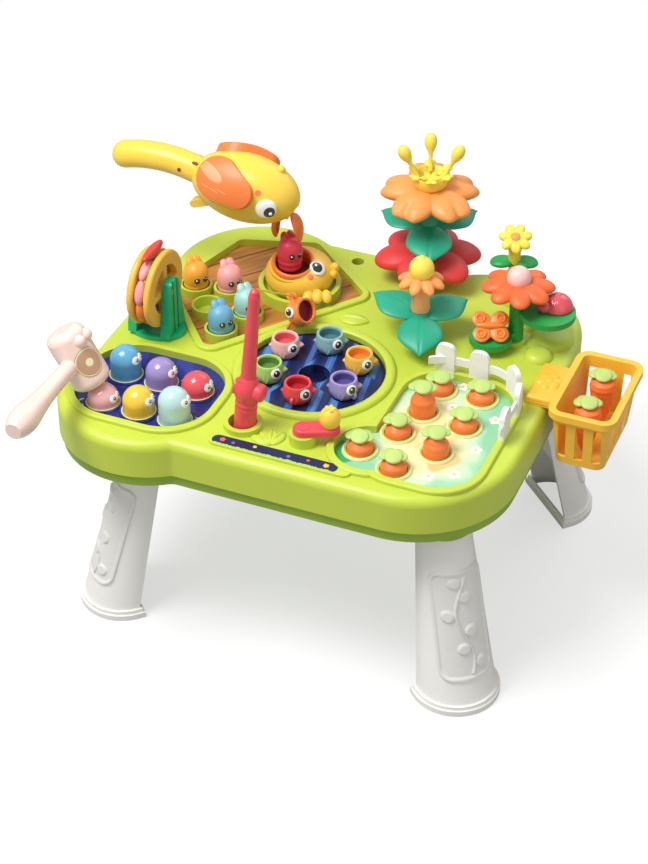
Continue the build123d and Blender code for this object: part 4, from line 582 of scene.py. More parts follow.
# Food wheel: two yellow bread rings with soft fillings and a sausage between them, all of plastic. They
# turn on an axle in a dark green stand.
paint(["wheel_stand"], plastic("stand_green", "12B07A", rough=0.38))
bread = plastic("bread_yellow", "F2BE4A", rough=0.44, mottle=0.4, grain=420.0, relief=0.25)
paint(["wheel_buns"], bread)
filling_inks = {
    "sausage_red": "D8433C", "pink": "EE9FA0", "orange": "F0913C",
    "tomato": "E25A3A", "blue": "4E7FBE", "green": "8CBF52",
}
fillings = {label: plastic("filling_" + label, code, rough=0.40) for label, code in filling_inks.items()}
order = ("orange", "tomato", "blue", "green", "orange", "tomato", "green", "pink", "pink")
axle = put(-189, -26, 290)
wedge = blade(25, 10.5, 10.2, point=0.1, droop=2.0)
food = []
for count, label in enumerate(order):
    spoke = axle @ put(0, 0, 0, roll=90 + 40 * (count + 0.5))
    filling = copy_at(wedge, spoke @ put(0, 0, 33.5, turn=90) @ put(-12.5, 0, 0))
    filling.data.materials.append(fillings[label])
    food.append(filling)
bar = blade(40, 10.4, 10.4, point=0.05, droop=0.0)
sausage = copy_at(bar, axle @ put(0, 0, 0, turn=90) @ put(-20, 0, 40.6))
sausage.data.materials.append(fillings["sausage_red"])
food.append(sausage)
drop(wedge, bar)
wheel_food = settle(join(food), "wheel_food", "wheel")
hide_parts("wheel_fillings")


# Chick: a round yellow body sitting in the nest ring, with an orange lip round its open mouth. The eyes
# and cheeks are set on its skin; three lobes make the wing and three small balls the tuft.
eye_white = plastic("eye_white", "FBFBF8", rough=0.25, mottle=0.05, coat=0.6)
eye_dark = plastic("eye_dark", "2B2D33", rough=0.20, mottle=0.10, coat=0.8)
# A white dot of painted highlight, set on every eye and bead where a lamp would glint.
painted_eye_highlight = plastic("painted_eye_highlight", "FFFFFF", rough=0.20, mottle=0.05)


def eye_model(flat, pupil, aside, above, light):
    """A low white dome with a dark pupil and a dot of painted highlight, facing +Z, one metre in radius."""
    bits = []
    for finish, radius, rise, where in (
        (eye_white, 1.0, flat, (0, 0, 0)),
        (eye_dark, pupil, 0.5 * flat, (aside, above, 0.72 * flat)),
        (painted_eye_highlight, 0.17, 0.3 * flat, (aside + light[0], above + light[1], 1.15 * flat)),
    ):
        fresh()
        bpy.ops.mesh.primitive_uv_sphere_add(segments=32, ring_count=16, radius=1)
        bit = bpy.context.object
        bpy.ops.transform.resize(value=(radius, radius, rise))
        bpy.ops.transform.translate(value=where)
        bpy.ops.object.transform_apply(location=True, scale=True)
        bit.data.materials.append(finish)
        bits.append(bit)
    return join(bits)


eye = eye_model(0.36, 0.67, 0.03, 0.03, (-0.18, 0.26))
bird_eye = eye_model(0.32, 0.56, 0.26, -0.20, (0.14, -0.12))
mole_eye = eye_model(0.30, 0.46, 0.20, 0.10, (-0.08, 0.14))
chick_eye = eye_model(0.40, 0.68, -0.16, 0.04, (-0.10, 0.26))


def toward(x, y, z, facing, size=1.0):
    """Places a model facing +Z so that it looks along a direction, scaled, in millimetres."""
    turn = Vector(facing).to_track_quat("Z", "Y").to_matrix().to_4x4()
    return Matrix.Translation(Vector((x, y, z)) / 1000) @ turn @ Matrix.Scale(size / 1000, 4)


def way(turn, rise=0.0):
    """A direction of length one from its turn about Z and its rise, in degrees."""
    turn, rise = math.radians(turn), math.radians(rise)
    return Vector((math.cos(rise) * math.cos(turn), math.cos(rise) * math.sin(turn), math.sin(rise)))


def skin_spot(label, x, y, z, facing):
    """Where a line from outside, along a direction, meets a CAD piece, in millimetres, and its normal."""
    place = part[label].matrix_world
    inward = place.inverted()
    start = inward @ ((Vector((x, y, z)) + Vector(facing) * 150) / 1000)
    hit, spot, normal, face = part[label].ray_cast(start, (inward.to_3x3() @ -Vector(facing)).normalized())
    if not hit:
        return None
    return (place @ spot) * 1000, (place.to_3x3() @ normal).normalized()


chick_yellow = plastic("chick_yellow", "F6C543", rough=0.38)
paint(["chick_body"], chick_yellow)
lip_orange = plastic("lip_orange", "EF7A2C", rough=0.36)
paint(["chick_mouth"], lip_orange)
blush = plastic("blush_coral", "EE7F55", rough=0.45)
eye_places = (((-63.6, 85.8, 275.3), (0.53, -0.24, 0.815)), ((-92.0, 122.0, 258.0), (-0.10, 0.96, 0.26)))
for count, (spot, facing) in enumerate(eye_places, 1):
    spot, facing = skin_spot("chick_body", *spot, Vector(facing).normalized())
    settle(copy_at(chick_eye, toward(*spot, facing, 8.4)), f"chick_eye_{count}", "table")
cheek = blade(2, 2, 0.5, point=0.0)
centred = Matrix.Translation((-1, 0, 0)) @ Matrix.Scale(1000, 4)
cheek_places = (((-66.5, 74.2, 270.5), (0.36, -0.52, 0.77)), ((-86.0, 121.0, 269.7), (0.02, 0.66, 0.75)))
for count, (spot, facing) in enumerate(cheek_places, 1):
    spot, facing = skin_spot("chick_body", *spot, Vector(facing).normalized())
    dot = copy_at(cheek, toward(*spot, facing, 3.0) @ centred)
    settle(dot, f"chick_cheek_{count}", "table", blush)
mouth_x, mouth_y = -89, 84
lip_profile = (
    (17.9, -5), (17.9, 0.4), (18.4, 1.8), (19.6, 2.6), (20.9, 2.2), (21.8, 1.0), (22.2, -1), (22, -4),
)
rim = turned(lip_profile, steps=56)
rim_place = put(mouth_x, mouth_y, 277, turn=22, roll=15)
settle(copy_at(rim, rim_place), "chick_lip", "table", lip_orange, smooth=60)
# The throat is a dark disc deep in the open mouth, painted shade.
throat_painted_shade = plastic("throat_painted_shade", "5E2018", rough=0.6)
throat = turned(((0, 268.2), (10, 268.2), (16, 268.3), (16.9, 269.5)), steps=36)
throat_place = put(mouth_x, mouth_y, 0)
settle(copy_at(throat, throat_place), "chick_throat", "table", throat_painted_shade)


def soften(piece, levels=1):
    pick(piece)
    smooth = piece.modifiers.new("soften", "SUBSURF")
    smooth.levels = levels
    smooth.render_levels = levels
    bpy.ops.object.modifier_apply(modifier="soften")
    return piece


ball = soften(turned(((0, -4.6), (3.2, -3.4), (4.6, 0), (3.4, 3.2), (0, 4.6)), steps=20))
ball_spots = ((-52.5, 104.5, 268.0), (-51.5, 98.0, 264.0), (-55.0, 111.0, 264.5))
tuft = join([copy_at(ball, put(*spot)) for spot in ball_spots])
settle(tuft, "chick_tuft", "table", chick_yellow, smooth=60)
feather = blade(15.5, 11.5, 10.0, point=-0.1)
side = way(22.5)
feathers = []
for aside, reach, lift in ((-8.4, 0.90, -0.5), (0, 1.0, 0.4), (8.4, 0.92, -0.5)):
    where = put(-59 + side.x * aside, 74 + side.y * aside, 258 + lift, turn=-67.5 + aside, tilt=34)
    feathers.append(copy_at(feather, where @ Matrix.Scale(reach, 4)))
settle(join(feathers), "chick_wing", "table", chick_yellow, smooth=60)
drop(chick_eye, cheek, rim, throat, ball, feather)


# Worms: five soft egg-shaped figures of plastic with grooved bodies and two ears laid back. Four stand
# in the cups of the deck and one in the mouth of the chick.
def worm_model(profile):
    body = soften(turned(profile, steps=28))
    ears = []
    for side in (-1, 1):
        ear = blade(14.5, 9.4, 7.0, point=-0.1, groove=1.8, droop=-2.5)
        ears.append(copy_at(ear, put(0.0, side * 4.5, 27.5, turn=side * 14, tilt=-112)))
        drop(ear)
    return body, ears


worm_profile = (
    (0, 0.2), (9.0, 0.4), (11.6, 2.2), (12.3, 5.2), (11.3, 7.0), (12.5, 9.2), (12.9, 11.6), (11.9, 13.2),
    (13.0, 15.4), (13.3, 20.0), (13.0, 25.0), (11.6, 29.8), (8.6, 33.4), (4.4, 35.6), (0, 36.3),
)
worm_spots = {
    "orange": (-184, 55, 235.3, "EFA636"), "pink": (-150, 63, 235.3, "EFA5A5"),
    "blue": (-128, -7, 235.3, "6FAACB"), "mint": (-116, 29, 235.3, "A5D5CF"),
    "red": (-93, 85, 268.3, "DC3A4E"),
}
worm_heading = -37.5
bead = turned(((0, 1.0), (0.5, 0.87), (0.87, 0.5), (1.0, 0.0), (0.9, -0.5)), steps=20)
bead_black = plastic("bead_black", "221A1C", rough=0.18, coat=0.8)
worm_body, worm_ears = worm_model(worm_profile)
for label, (x, y, base, code) in worm_spots.items():
    finish = plastic("worm_" + label, code, rough=0.40)
    where = put(x, y, base, turn=worm_heading)
    worm = join([copy_at(worm_body, where)] + [copy_at(ear, where) for ear in worm_ears])
    settle(worm, "worm_" + label, label + "_worm", finish, smooth=60)
    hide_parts(label + "_worm")
    for side, hand in ((-1, "right"), (1, "left")):
        facing = way(worm_heading + side * 20, 4)
        spot = Vector((x, y, base + 20.0)) + facing * 12.4
        dot = copy_at(bead, toward(*spot, facing, 3.2) @ Matrix.Scale(1000, 4))
        settle(dot, f"worm_{label}_eye_{hand}", label + "_worm", bead_black, smooth=60)
        # A small white dome on each bead is a painted highlight, where the lamp would glint.
        glint = spot + facing * 2.6 + Vector((-0.6, -0.3, 1.3))
        painted_glint = copy_at(bead, toward(*glint, facing, 0.65) @ Matrix.Scale(1000, 4))
        settle(painted_glint, f"worm_{label}_spark_{hand}", label + "_worm", painted_eye_highlight, smooth=60)
drop(worm_body, bead, *worm_ears)


# Feeding bird: a yellow two-part shell drawn out into a curved grip, orange wings on both sides, and a
# beak of two jaws that the trigger opens. Films on its skin make the markings; dark brown films on the
# grip are painted shade for its slot and holes.
def film_disc(insets):
    """A flat round film, one metre in radius, with rings of faces so that it can be bent."""
    fresh()
    bpy.ops.mesh.primitive_circle_add(vertices=48, radius=1, fill_type="NGON")
    bpy.ops.object.mode_set(mode="EDIT")
    bpy.ops.mesh.select_all(action="SELECT")
    for size in insets:
        bpy.ops.mesh.inset(thickness=size)
    bpy.ops.object.mode_set(mode="OBJECT")
    return bpy.context.object


def decal(label, centre, facing, along, half_length, half_width, lift=0.25):
    """A thin oval film laid over the skin of a CAD piece, in millimetres."""
    film = film_disc((0.06, 0.2, 0.2, 0.2, 0.2))
    facing = Vector(facing).normalized()
    along = (Vector(along) - facing * Vector(along).dot(facing)).normalized()
    across = facing.cross(along)
    for v in film.data.vertices:
        rim = step(1.0, 0.93, v.co.xy.length)
        reach = along * v.co.x * half_length + across * v.co.y * half_width
        found = skin_spot(label, *(Vector(centre) + reach), facing)
        while not found:
            reach *= 0.94
            found = skin_spot(label, *(Vector(centre) + reach), facing)
        v.co = (found[0] + found[1] * (lift * (2 * rim - 1))) / 1000
    return film


bird_yellow = plastic("bird_yellow", "F6CF4B", rough=0.34)
paint(["bird_body", "bird_trigger"], bird_yellow)
wing_orange = plastic("wing_orange", "EE7E3C", rough=0.40)
wing_patch = plastic("wing_peach", "F2A778", rough=0.42)
# Dark brown painted shade for the slot and holes of the grip.
hole_painted_shade = plastic("hole_painted_shade", "8A3A12", rough=0.6)
paint(["bird_wings"], wing_orange)
bird_y = 85
for side, label in ((-1, "near"), (1, "far")):
    sight = Vector((0.405, side * 0.914, -0.001))
    spot, facing = skin_spot("bird_body", -106.2, bird_y + side * 27.3, 349.7, sight)
    settle(copy_at(bird_eye, toward(*spot, facing, 10.6)), f"bird_eye_{label}", "bird")
    brow = (-114.6, bird_y + side * 26.9, 365.5)
    cheek_spot = decal("bird_body", brow, (0.31, side * 0.84, 0.44), (1, 0, 0), 3.2, 3.2)
    settle(cheek_spot, f"bird_hole_{label}", "bird", blush, smooth=60)
    outward = Vector((0, side * 0.82, 0.57))
    upward = Vector((0, -side * 0.57, 0.82))
    wing_middle = Vector((-160, bird_y + side * 27, 373))
    spot = wing_middle + Vector((-4, 0, 0)) + upward * 4.0
    patch = decal("bird_wings", spot, outward, Vector((0.87, 0, 0)) - upward * 0.49, 17, 6.4, 0.35)
    settle(patch, f"wing_patch_{label}", "bird", wing_patch, smooth=60)
    for count, (ahead, above) in enumerate(((-7, -10), (3, -13), (12, -13)), 1):
        spot = wing_middle + Vector((ahead, 0, 0)) + upward * above
        arc = decal("bird_wings", spot, outward, Vector((0.9, 0, 0)) - upward * 0.3, 5.5, 0.6, 0.3)
        settle(arc, f"wing_line_{label}_{count}", "bird", wing_patch, smooth=60)
    grip_run = (1, 0, -0.2)
    slot = decal("bird_body", (-190, bird_y + side * 10, 373), (0.05, side * 0.8, 0.6), grip_run, 4.2, 1.9)
    settle(slot, f"grip_slot_{label}", "bird", hole_painted_shade, smooth=60)
    hole = decal("bird_body", (-205.6, bird_y + side * 13, 364), (0.05, side * 0.95, 0.3), grip_run, 2.2, 2.2)
    settle(hole, f"grip_hole_{label}", "bird", hole_painted_shade, smooth=60)
crest = soften(turned(((0, -3.5), (3.6, -2.0), (5.0, 1.0), (3.4, 4.0), (0, 5.2)), steps=24))
spot, facing = skin_spot("bird_body", -104.6, 91.6, 375.5, Vector((0.478, 0.219, 0.851)).normalized())
bump = copy_at(crest, toward(*spot, facing, 1.0) @ Matrix.Scale(1000, 4))
settle(bump, "bird_crest", "bird", bird_yellow, smooth=60)
drop(bird_eye, crest)
jaw_orange = plastic("jaw_orange", "EC7A38", rough=0.38)
jaw_red = plastic("jaw_red", "B4342B", rough=0.45)
for label, x, tilt, curl in (("front", -91.2, 50, 12.0), ("rear", -104, 112, -8.0)):
    jaw = blade(30, 19, 6.5, point=0.15, droop=curl)
    jaw.data.materials.append(jaw_orange)
    tongue = blade(22, 11, 2.4, point=0.2, droop=curl * 0.69)
    tongue.data.materials.append(jaw_red)
    inside = -2.7 if curl > 0 else 2.7
    hinge = put(x, bird_y, 333, tilt=tilt)
    pieces = [copy_at(jaw, hinge), copy_at(tongue, hinge @ put(3, 0, inside))]
    shaped = settle(join(pieces), "jaw_" + label, "beak_" + label, smooth=60)
    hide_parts("beak_" + label)
    drop(jaw, tongue)


# Fish: six hollow pots with open mouths that sit in the wells of the pond disc; each has a large eye,
# a pointed tail and folded fins moulded on its sides.
pond_x, pond_y, fish_circle, mouth_z = -17, -35, 44, 257.3
pond_inks = ((0.0, "18214F"), (0.40, "1E2A62"), (0.60, "3F69AE"), (0.76, "5588C6"))
fish_pond, flow, inks = water("fish_pond_print", "1E2A6B", pond_x, pond_y, 8, 15.0, pond_inks)
tree = fish_pond.node_tree
reach = new_node(tree, "ShaderNodeVectorMath", operation="LENGTH")
tree.links.new(stretched(tree, flow, (1, 1, 0)), reach.inputs[0])
inks = overprint(tree, mask(tree, reach.outputs["Value"], 0.0652, 0.0656), inks, "11131C")
inks = overprint(tree, mask(tree, reach.outputs["Value"], 0.0153, 0.0149), inks, "0C1038")
tree.links.new(inks, tree.nodes["skin"].inputs["Colour"])
paint(["pond_disc"], fish_pond)
# Each fish: its turn round the pond, its colour, and a darker copy painted as shade in its mouth.
fish_inks = {
    "yellow": (32, "F4BE4E", "E5852E"), "teal": (92, "86B3B5", "4F7F86"), "pink": (152, "EFB5B0", "D9595C"),
    "green": (212, "A6C96A", "5F8A3A"), "red": (272, "E2484E", "B5222C"), "purple": (332, "A196CC", "5E4F96"),
}
gullet = turned(((0, -8.8), (8, -8.8), (10.2, -8.6), (10.4, -7.0), (10.4, -2.0)), steps=32)
lip = turned(((10.5, -3.2), (10.5, -0.6), (11.0, 0.2), (12.0, 0.2), (12.9, -0.7), (13.3, -2.4)), steps=40)
tail = blade(9.5, 8.5, 4.6, point=0.7, groove=0.8)
fin = blade(11, 7.5, 3.0, point=0.5, groove=0.9)
for label, (turn, code, inner) in fish_inks.items():
    x = pond_x + fish_circle * math.cos(math.radians(turn))
    y = pond_y + fish_circle * math.sin(math.radians(turn))
    body = label + "_fish"
    finish = plastic("fish_" + label, code, rough=0.38)
    paint([body], finish)
    for side, face_turn in (("front", -36), ("back", 74)):
        spot, facing = skin_spot(body, x, y, 248.0, way(face_turn, 14))
        fish_eye = copy_at(eye, toward(*spot, facing, 5.4))
        settle(fish_eye, f"fish_{label}_eye_{side}", body)
    mouth = put(x, y, mouth_z)
    settle(copy_at(lip, mouth), f"fish_{label}_lip", body, finish, smooth=60)
    # The floor of the mouth is painted shade, a darker copy of the fish's colour.
    mouth_painted_shade = plastic("gullet_" + label, inner, rough=0.5)
    settle(copy_at(gullet, mouth), f"fish_{label}_gullet", body, mouth_painted_shade, smooth=60)
    for side, heading, reach in (("tail", 22, 8.8), ("snout", 202, 6.8)):
        edge = way(heading)
        point = copy_at(tail, put(x + edge.x * reach, y + edge.y * reach, 248, turn=heading, tilt=-6))
        settle(point, f"fish_{label}_{side}", body, finish, smooth=60)
    for side, heading in (("front", -78), ("back", 112)):
        edge = way(heading)
        flap = copy_at(fin, put(x + edge.x * 12.4, y + edge.y * 12.4, 252, turn=heading, tilt=80))
        settle(flap, f"fish_{label}_fin_{side}", body, finish, smooth=60)


# Crank: a coral red arm with an upright knob crowned with small bumps; a white gear under the case
# carries its turn to the pond.
coral = plastic("crank_coral", "E84B55", rough=0.36)
paint(["crank_arm"], coral)
knob_yellow = plastic("knob_yellow", "F5CB49", rough=0.36)
paint(["crank_knob"], knob_yellow)
paint(["crank_gear"], plastic("gear_white", "E8E6E0", rough=0.42, mottle=0.1))
bump = blade(6.0, 4.4, 4.2, point=-0.1, rings=16, ribs=16)
knob_top = (38.66, -130.4, 275.0)
crown = [copy_at(bump, put(*knob_top, turn=72 * k + 20, tilt=-22)) for k in range(5)]
settle(join(crown), "knob_crown", "crank", knob_yellow, smooth=60)
ring = turned(((5.4, 258.0), (5.6, 258.5), (6.4, 258.6), (7.2, 258.5), (7.4, 258.0)), steps=36)
settle(copy_at(ring, put(16, -141, 0)), "crank_hub_ring", "crank", coral, smooth=60)
drop(bump, ring)


# Fishing rod: a coral red rod with a grip, a collar and a reel, standing in a socket. A thin yellow
# line runs taut from its tip to an orange fish.
rod_coral = plastic("rod_coral", "E84B55", rough=0.34)
paint(["fishing_rod"], rod_coral)
collar_profile = (
    (8.0, 48), (10.6, 49.5), (10.9, 51.5), (9.6, 53.2), (9.4, 55), (11.2, 58), (12.2, 62), (12.2, 68),
    (11.0, 73), (8.6, 77.5), (7.4, 81), (5.0, 82),
)
rod_foot = put(-45, -140, 218.2, tilt=5)
collar = soften(turned(collar_profile, steps=40))
settle(copy_at(collar, rod_foot), "rod_collar", "rod", rod_coral, smooth=60)
spool = turned(((0, -8.4), (7.6, -8.0), (8.9, -6.0), (8.9, 3.6), (8.2, 6.4), (6.4, 7.6), (0, 7.9)), steps=40)
spool_place = rod_foot @ put(9.6, 0, 66, tilt=90)
settle(copy_at(spool, spool_place), "rod_spool", "rod", rod_coral, smooth=60)
drop(collar, spool)
line_yellow = plastic("line_yellow", "F2D23E", rough=0.5)
line_start = (-0.029486, -0.140, 0.395538)
line_end = (-0.065999, 0.030608, 0.274580)
line_curve = bpy.data.curves.new("fishing_cord", "CURVE")
line_curve.dimensions = "3D"
line_curve.bevel_depth = 0.0009
line_curve.bevel_resolution = 4
run = line_curve.splines.new("NURBS")
run.points.add(3)
for count, point in enumerate(run.points):
    place = Vector(line_start).lerp(Vector(line_end), count / 3)
    point.co = (place.x, place.y, place.z, 1)
run.order_u = 3
run.use_endpoint_u = True
fishing_cord = bpy.data.objects.new("fishing_cord", line_curve)
scene.collection.objects.link(fishing_cord)
line_curve.materials.append(line_yellow)
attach(fishing_cord, "rod")
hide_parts("fishing_line")
hooked_orange = plastic("fish_orange", "F28A3A", rough=0.38)
paint(["hooked_fish"], hooked_orange)
hooked_place = put(-60, 29, 259.15, turn=-15, tilt=62)
mouth = hooked_place @ put(0, 0, 11)
settle(copy_at(lip, mouth), "hooked_lip", "rod", hooked_orange, smooth=60)
# The floor of its mouth is painted dark red as shade.
hooked_mouth_shade = plastic("gullet_hooked", "8E1F2C", rough=0.5)
settle(copy_at(gullet, mouth), "hooked_gullet", "rod", hooked_mouth_shade, smooth=60)
for side, turn in (("front", -112), ("back", 112)):
    outward = hooked_place.to_3x3() @ way(turn, 6)
    centre = hooked_place @ Vector((0, 0, 0))
    spot, facing = skin_spot("hooked_fish", *(centre * 1000), outward)
    settle(copy_at(eye, toward(*spot, facing, 5.4)), f"hooked_eye_{side}", "rod")
for side, turn in (("left", -60), ("right", 60), ("top", 180)):
    edge = way(turn)
    flap = copy_at(fin, hooked_place @ put(edge.x * 11.5, edge.y * 11.5, -2, turn=turn, tilt=20))
    settle(flap, f"hooked_fin_{side}", "rod", hooked_orange, smooth=60)
drop(eye, gullet, lip, tail, fin)


# Moles: six glossy plastic domes, each with two round eyes. They stand on steel springs in the holes
# of the mole panel and are pressed down.
mole_shades = {
    "pink": "F0B5B5", "yellow": "F5C83C", "mint": "B9DCD8",
    "blue": "5FA8D0", "purple": "9B8CC8", "red": "E8545F",
}
for label, (x, y, top) in mole_spots.items():
    body = label + "_mole"
    paint([body], plastic("mole_" + label, mole_shades[label], rough=0.24, mottle=0.14, coat=0.4))
    for side, hand in ((-1, "right"), (1, "left")):
        spot, facing = skin_spot(body, x, y, top - 15, way(-3 + side * 15.5, 18))
        round_eye = copy_at(mole_eye, toward(*spot, facing, 4.2))
        settle(round_eye, f"mole_{label}_eye_{hand}", body)
drop(mole_eye)
paint(["mole_springs"], screw_metal)


# Hammer: a pale pink mallet of soft plastic, moulded in one piece. A round brown label is set on its
# head and three rings run round the handle.
hammer_pink = plastic("hammer_pink", "F6D9CC", rough=0.28, mottle=0.12, coat=0.4)
paint(["hammer"], hammer_pink)
hammer_place = put(-184, -152.5, 242.5, tilt=-30) @ put(0, 0, 15.3)
head_radius, label_radius, label_height, label_turn = 19.5, 14.5, 27, math.radians(-28)
label_brown = plastic("label_brown", "C49A7C", rough=0.40, mottle=0.3)
label_cream = plastic("label_cream", "F3E8BC", rough=0.40)
badge = film_disc((0.06, 0.07, 0.2, 0.2, 0.2))
badge.data.materials.append(label_brown)
badge.data.materials.append(label_cream)
for face in badge.data.polygons:
    away = face.center.xy.length
    face.material_index = 1 if 0.86 < away < 0.95 or away < 0.28 else 0
for v in badge.data.vertices:
    turn = label_turn + v.co.x * label_radius / head_radius
    radius = head_radius + 0.25 + 0.25 * step(1.0, 0.85, v.co.xy.length)
    height = label_height + v.co.y * label_radius
    v.co = Vector((radius * math.cos(turn), radius * math.sin(turn), height)) / 1000
badge.data.transform(hammer_place)
settle(badge, "hammer_label", "hammer", smooth=60)
band = turned(((10.0, -0.6), (10.6, 0.0), (10.6, 1.6), (10.0, 2.2)), steps=36)
for count, reach in enumerate((78.45, 85.65, 92.85), 1):
    ring = copy_at(band, hammer_place @ put(0, -reach, 31, roll=90))
    settle(ring, f"hammer_ring_{count}", "hammer", hammer_pink, smooth=60)
drop(band)


# Flower stack: four pieces on one peg, red petals at the foot, three teal leaves, peach petals and a
# yellow cup with three stamens. All are soft moulded pieces that lift off one another.
def corolla(model, count, start, x, y, z, tilt):
    return [copy_at(model, put(x, y, z, turn=start + 360 * k / count, tilt=tilt)) for k in range(count)]


stack = (25, 165)
flower_red = plastic("flower_red", "E03A38", rough=0.52, mottle=0.3, grain=500.0, relief=0.2)
petal = blade(54.6, 42, 21, point=0.06, droop=6.0)
stalk = turned(((0, 256.2), (13, 256.2), (14, 262), (9.5, 268), (8.8, 290.5), (7.5, 291.8), (0, 291.8)))
pieces = corolla(petal, 6, 30, *stack, 267.0, -2) + [copy_at(stalk, put(*stack, 0))]
red_bloom = settle(join(pieces), "red_bloom", "red_flower", flower_red, smooth=60)
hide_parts("red_flower")
drop(petal, stalk)

leaf_teal = plastic("leaf_teal", "22A582", rough=0.44, mottle=0.28)
leaf = blade(56, 46, 8.0, point=0.95, droop=9.0, fold=-0.10, groove=1.0, slit=0.05, rings=40, ribs=64)
stalk = turned(((0, 297.8), (11, 297.8), (12, 301), (9.5, 305), (8.8, 323), (7.5, 324.8), (0, 324.8)))
leaf_turns = ((-70, 5), (50, -8), (170, -6))
pieces = [copy_at(leaf, put(*stack, 303.4, turn=turn, tilt=tilt)) for turn, tilt in leaf_turns]
pieces.append(copy_at(stalk, put(*stack, 0)))
leaf_whorl = settle(join(pieces), "leaf_whorl", "leaf_ring", leaf_teal, smooth=60)
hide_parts("leaf_ring")
drop(leaf, stalk)

flower_peach = plastic("flower_peach", "F5A055", rough=0.48, mottle=0.25)
petal = blade(
    52, 42, 21, point=-0.12, notch=6.5, groove=3.4, slit=0.16, crease=0.2, droop=8.0, rings=36, ribs=40,
)
stalk = turned(((0, 327.8), (16, 327.8), (18, 334), (14, 339.5), (9, 343.6), (0, 343.6)))
petal_turns = ((-103.5, -3), (-31.5, -3), (40.5, -7), (112.5, -14), (184.5, -7))
pieces = [copy_at(petal, put(*stack, 338.0, turn=turn, tilt=tilt)) for turn, tilt in petal_turns]
pieces.append(copy_at(stalk, put(*stack, 0)))
peach_bloom = settle(join(pieces), "peach_bloom", "peach_flower", flower_peach, smooth=60)
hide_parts("peach_flower")
drop(petal, stalk)

stamen_yellow = plastic("stamen_yellow", "F9DF55", rough=0.42)
cup = turned((
    (0, 344.2), (9, 344.3), (13.5, 346.0), (16.4, 350), (17.8, 355), (18.3, 359.6), (17.8, 361.0),
    (16.6, 360.4), (15.2, 355.5), (12, 352.5), (0, 351.6),
))
pieces = [copy_at(cup, put(*stack, 0))]
frill = blade(11, 12, 4.2, point=-0.2, notch=2.0, droop=-1.0, rings=16, ribs=16)
frill_lean = put(13.6, 0, 0, tilt=-8)
pieces += [copy_at(frill, put(*stack, 360.6, turn=52 + 60 * k) @ frill_lean) for k in range(6)]
star = blade(12, 6, 5.0, point=0.5, rings=16, ribs=16)
pieces += corolla(star, 5, -67, *stack, 354.4, -16)
stamen = turned((
    (0, 0), (2.4, 0), (2.0, 6), (1.9, 14), (2.6, 19), (4.8, 23), (6.2, 27.5), (6.3, 31), (5.2, 35),
    (3.0, 37.6), (0, 38.4),
), steps=20)
for turn, lean, reach in ((112, 17, 12), (200, 27, 13), (24, 27, 13)):
    out = way(turn) * reach
    pieces.append(copy_at(stamen, put(stack[0] + out.x, stack[1] + out.y, 357.0, turn=turn, tilt=lean)))
stamens = settle(join(pieces), "stamen_bloom", "stamen_cup", stamen_yellow, smooth=60)
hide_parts("stamen_cup")
drop(cup, stamen, frill, star)


# Bud stack: three teal leaves on a peg and a yellow bud on eight drooping peach petals, both soft
# moulded pieces that lift off.
bud_peg = (57, 56)
leaf = blade(53, 44, 9.0, point=0.85, droop=10.0, fold=-0.12, groove=1.0, slit=0.05, rings=40, ribs=64)
stalk = turned(((0, 257.8), (11, 257.8), (12, 261), (9.5, 265), (8.8, 273), (7.5, 274.8), (0, 274.8)))
leaf_turns = ((-70, 3), (50, -12), (170, -18))
pieces = [copy_at(leaf, put(*bud_peg, 269.0, turn=turn, tilt=tilt)) for turn, tilt in leaf_turns]
pieces.append(copy_at(stalk, put(*bud_peg, 0)))
trio = settle(join(pieces), "leaf_fan", "leaf_trio", leaf_teal, smooth=60)
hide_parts("leaf_trio")
drop(leaf, stalk)

bud_orange = plastic("bud_orange", "F6AF6E", rough=0.46)
petal = blade(23.4, 12.6, 10.5, point=-0.1, droop=6.0)
neck = turned(((0, 275.3), (9, 275.3), (9.6, 277), (8.4, 290), (7.2, 304), (9, 309), (0, 311)))
ball = soften(turned((
    (0, 309.3), (6.5, 310.7), (11.2, 315.3), (12.9, 321.8), (11.4, 328.3), (6.6, 333.0), (3.0, 334.2),
    (2.4, 336.0), (0, 336.8),
), steps=32))
petal.data.materials.append(flower_peach)
neck.data.materials.append(bud_orange)
ball.data.materials.append(stamen_yellow)
pieces = corolla(petal, 8, 0, *bud_peg, 311.0, -2)
pieces += [copy_at(model, put(*bud_peg, 0)) for model in (neck, ball)]
bud = settle(join(pieces), "bud_bloom", "bud_flower", smooth=60)
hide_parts("bud_flower")
drop(petal, neck, ball)


# Garden stem: a dark green post with two leaf perches, standing in a low ring of the shell. An orange
# daisy with a pink ball is pegged on top.
garden = (145, 88)
stem_green = plastic("stem_green", "1E9E48", rough=0.42)
paint(["garden_stem"], stem_green)
foot = turned(((6.9, 239.5), (6.9, 241.4), (7.4, 242.0), (9.8, 242.0), (10.6, 241.2), (10.8, 239.5)))
ring = copy_at(foot, put(*garden, 0))
settle(ring, "garden_foot", "table", shell_green, smooth=60)
drop(foot)
daisy_orange = plastic("daisy_orange", "EE6B33", rough=0.46)
bud_pink = plastic("bud_pink", "F6C9C0", rough=0.40)
petal = blade(36, 22.5, 13, point=-0.08, droop=3.0)
hub = turned(((0, 299.9), (12, 299.9), (13, 303), (12, 308.8), (0, 309)))
ball = soften(turned((
    (0, 301.7), (6, 303.1), (10.8, 307.7), (12.4, 314), (10.9, 320.2), (6.2, 324.9), (0, 326.4),
), steps=32))
for model, finish in ((petal, daisy_orange), (hub, daisy_orange), (ball, bud_pink)):
    model.data.materials.append(finish)
pieces = corolla(petal, 8, 22, *garden, 305.6, 0)
pieces += [copy_at(model, put(*garden, 0)) for model in (hub, ball)]
daisy = settle(join(pieces), "daisy_bloom", "daisy_flower", smooth=60)
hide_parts("daisy_flower")
drop(petal, hub, ball)


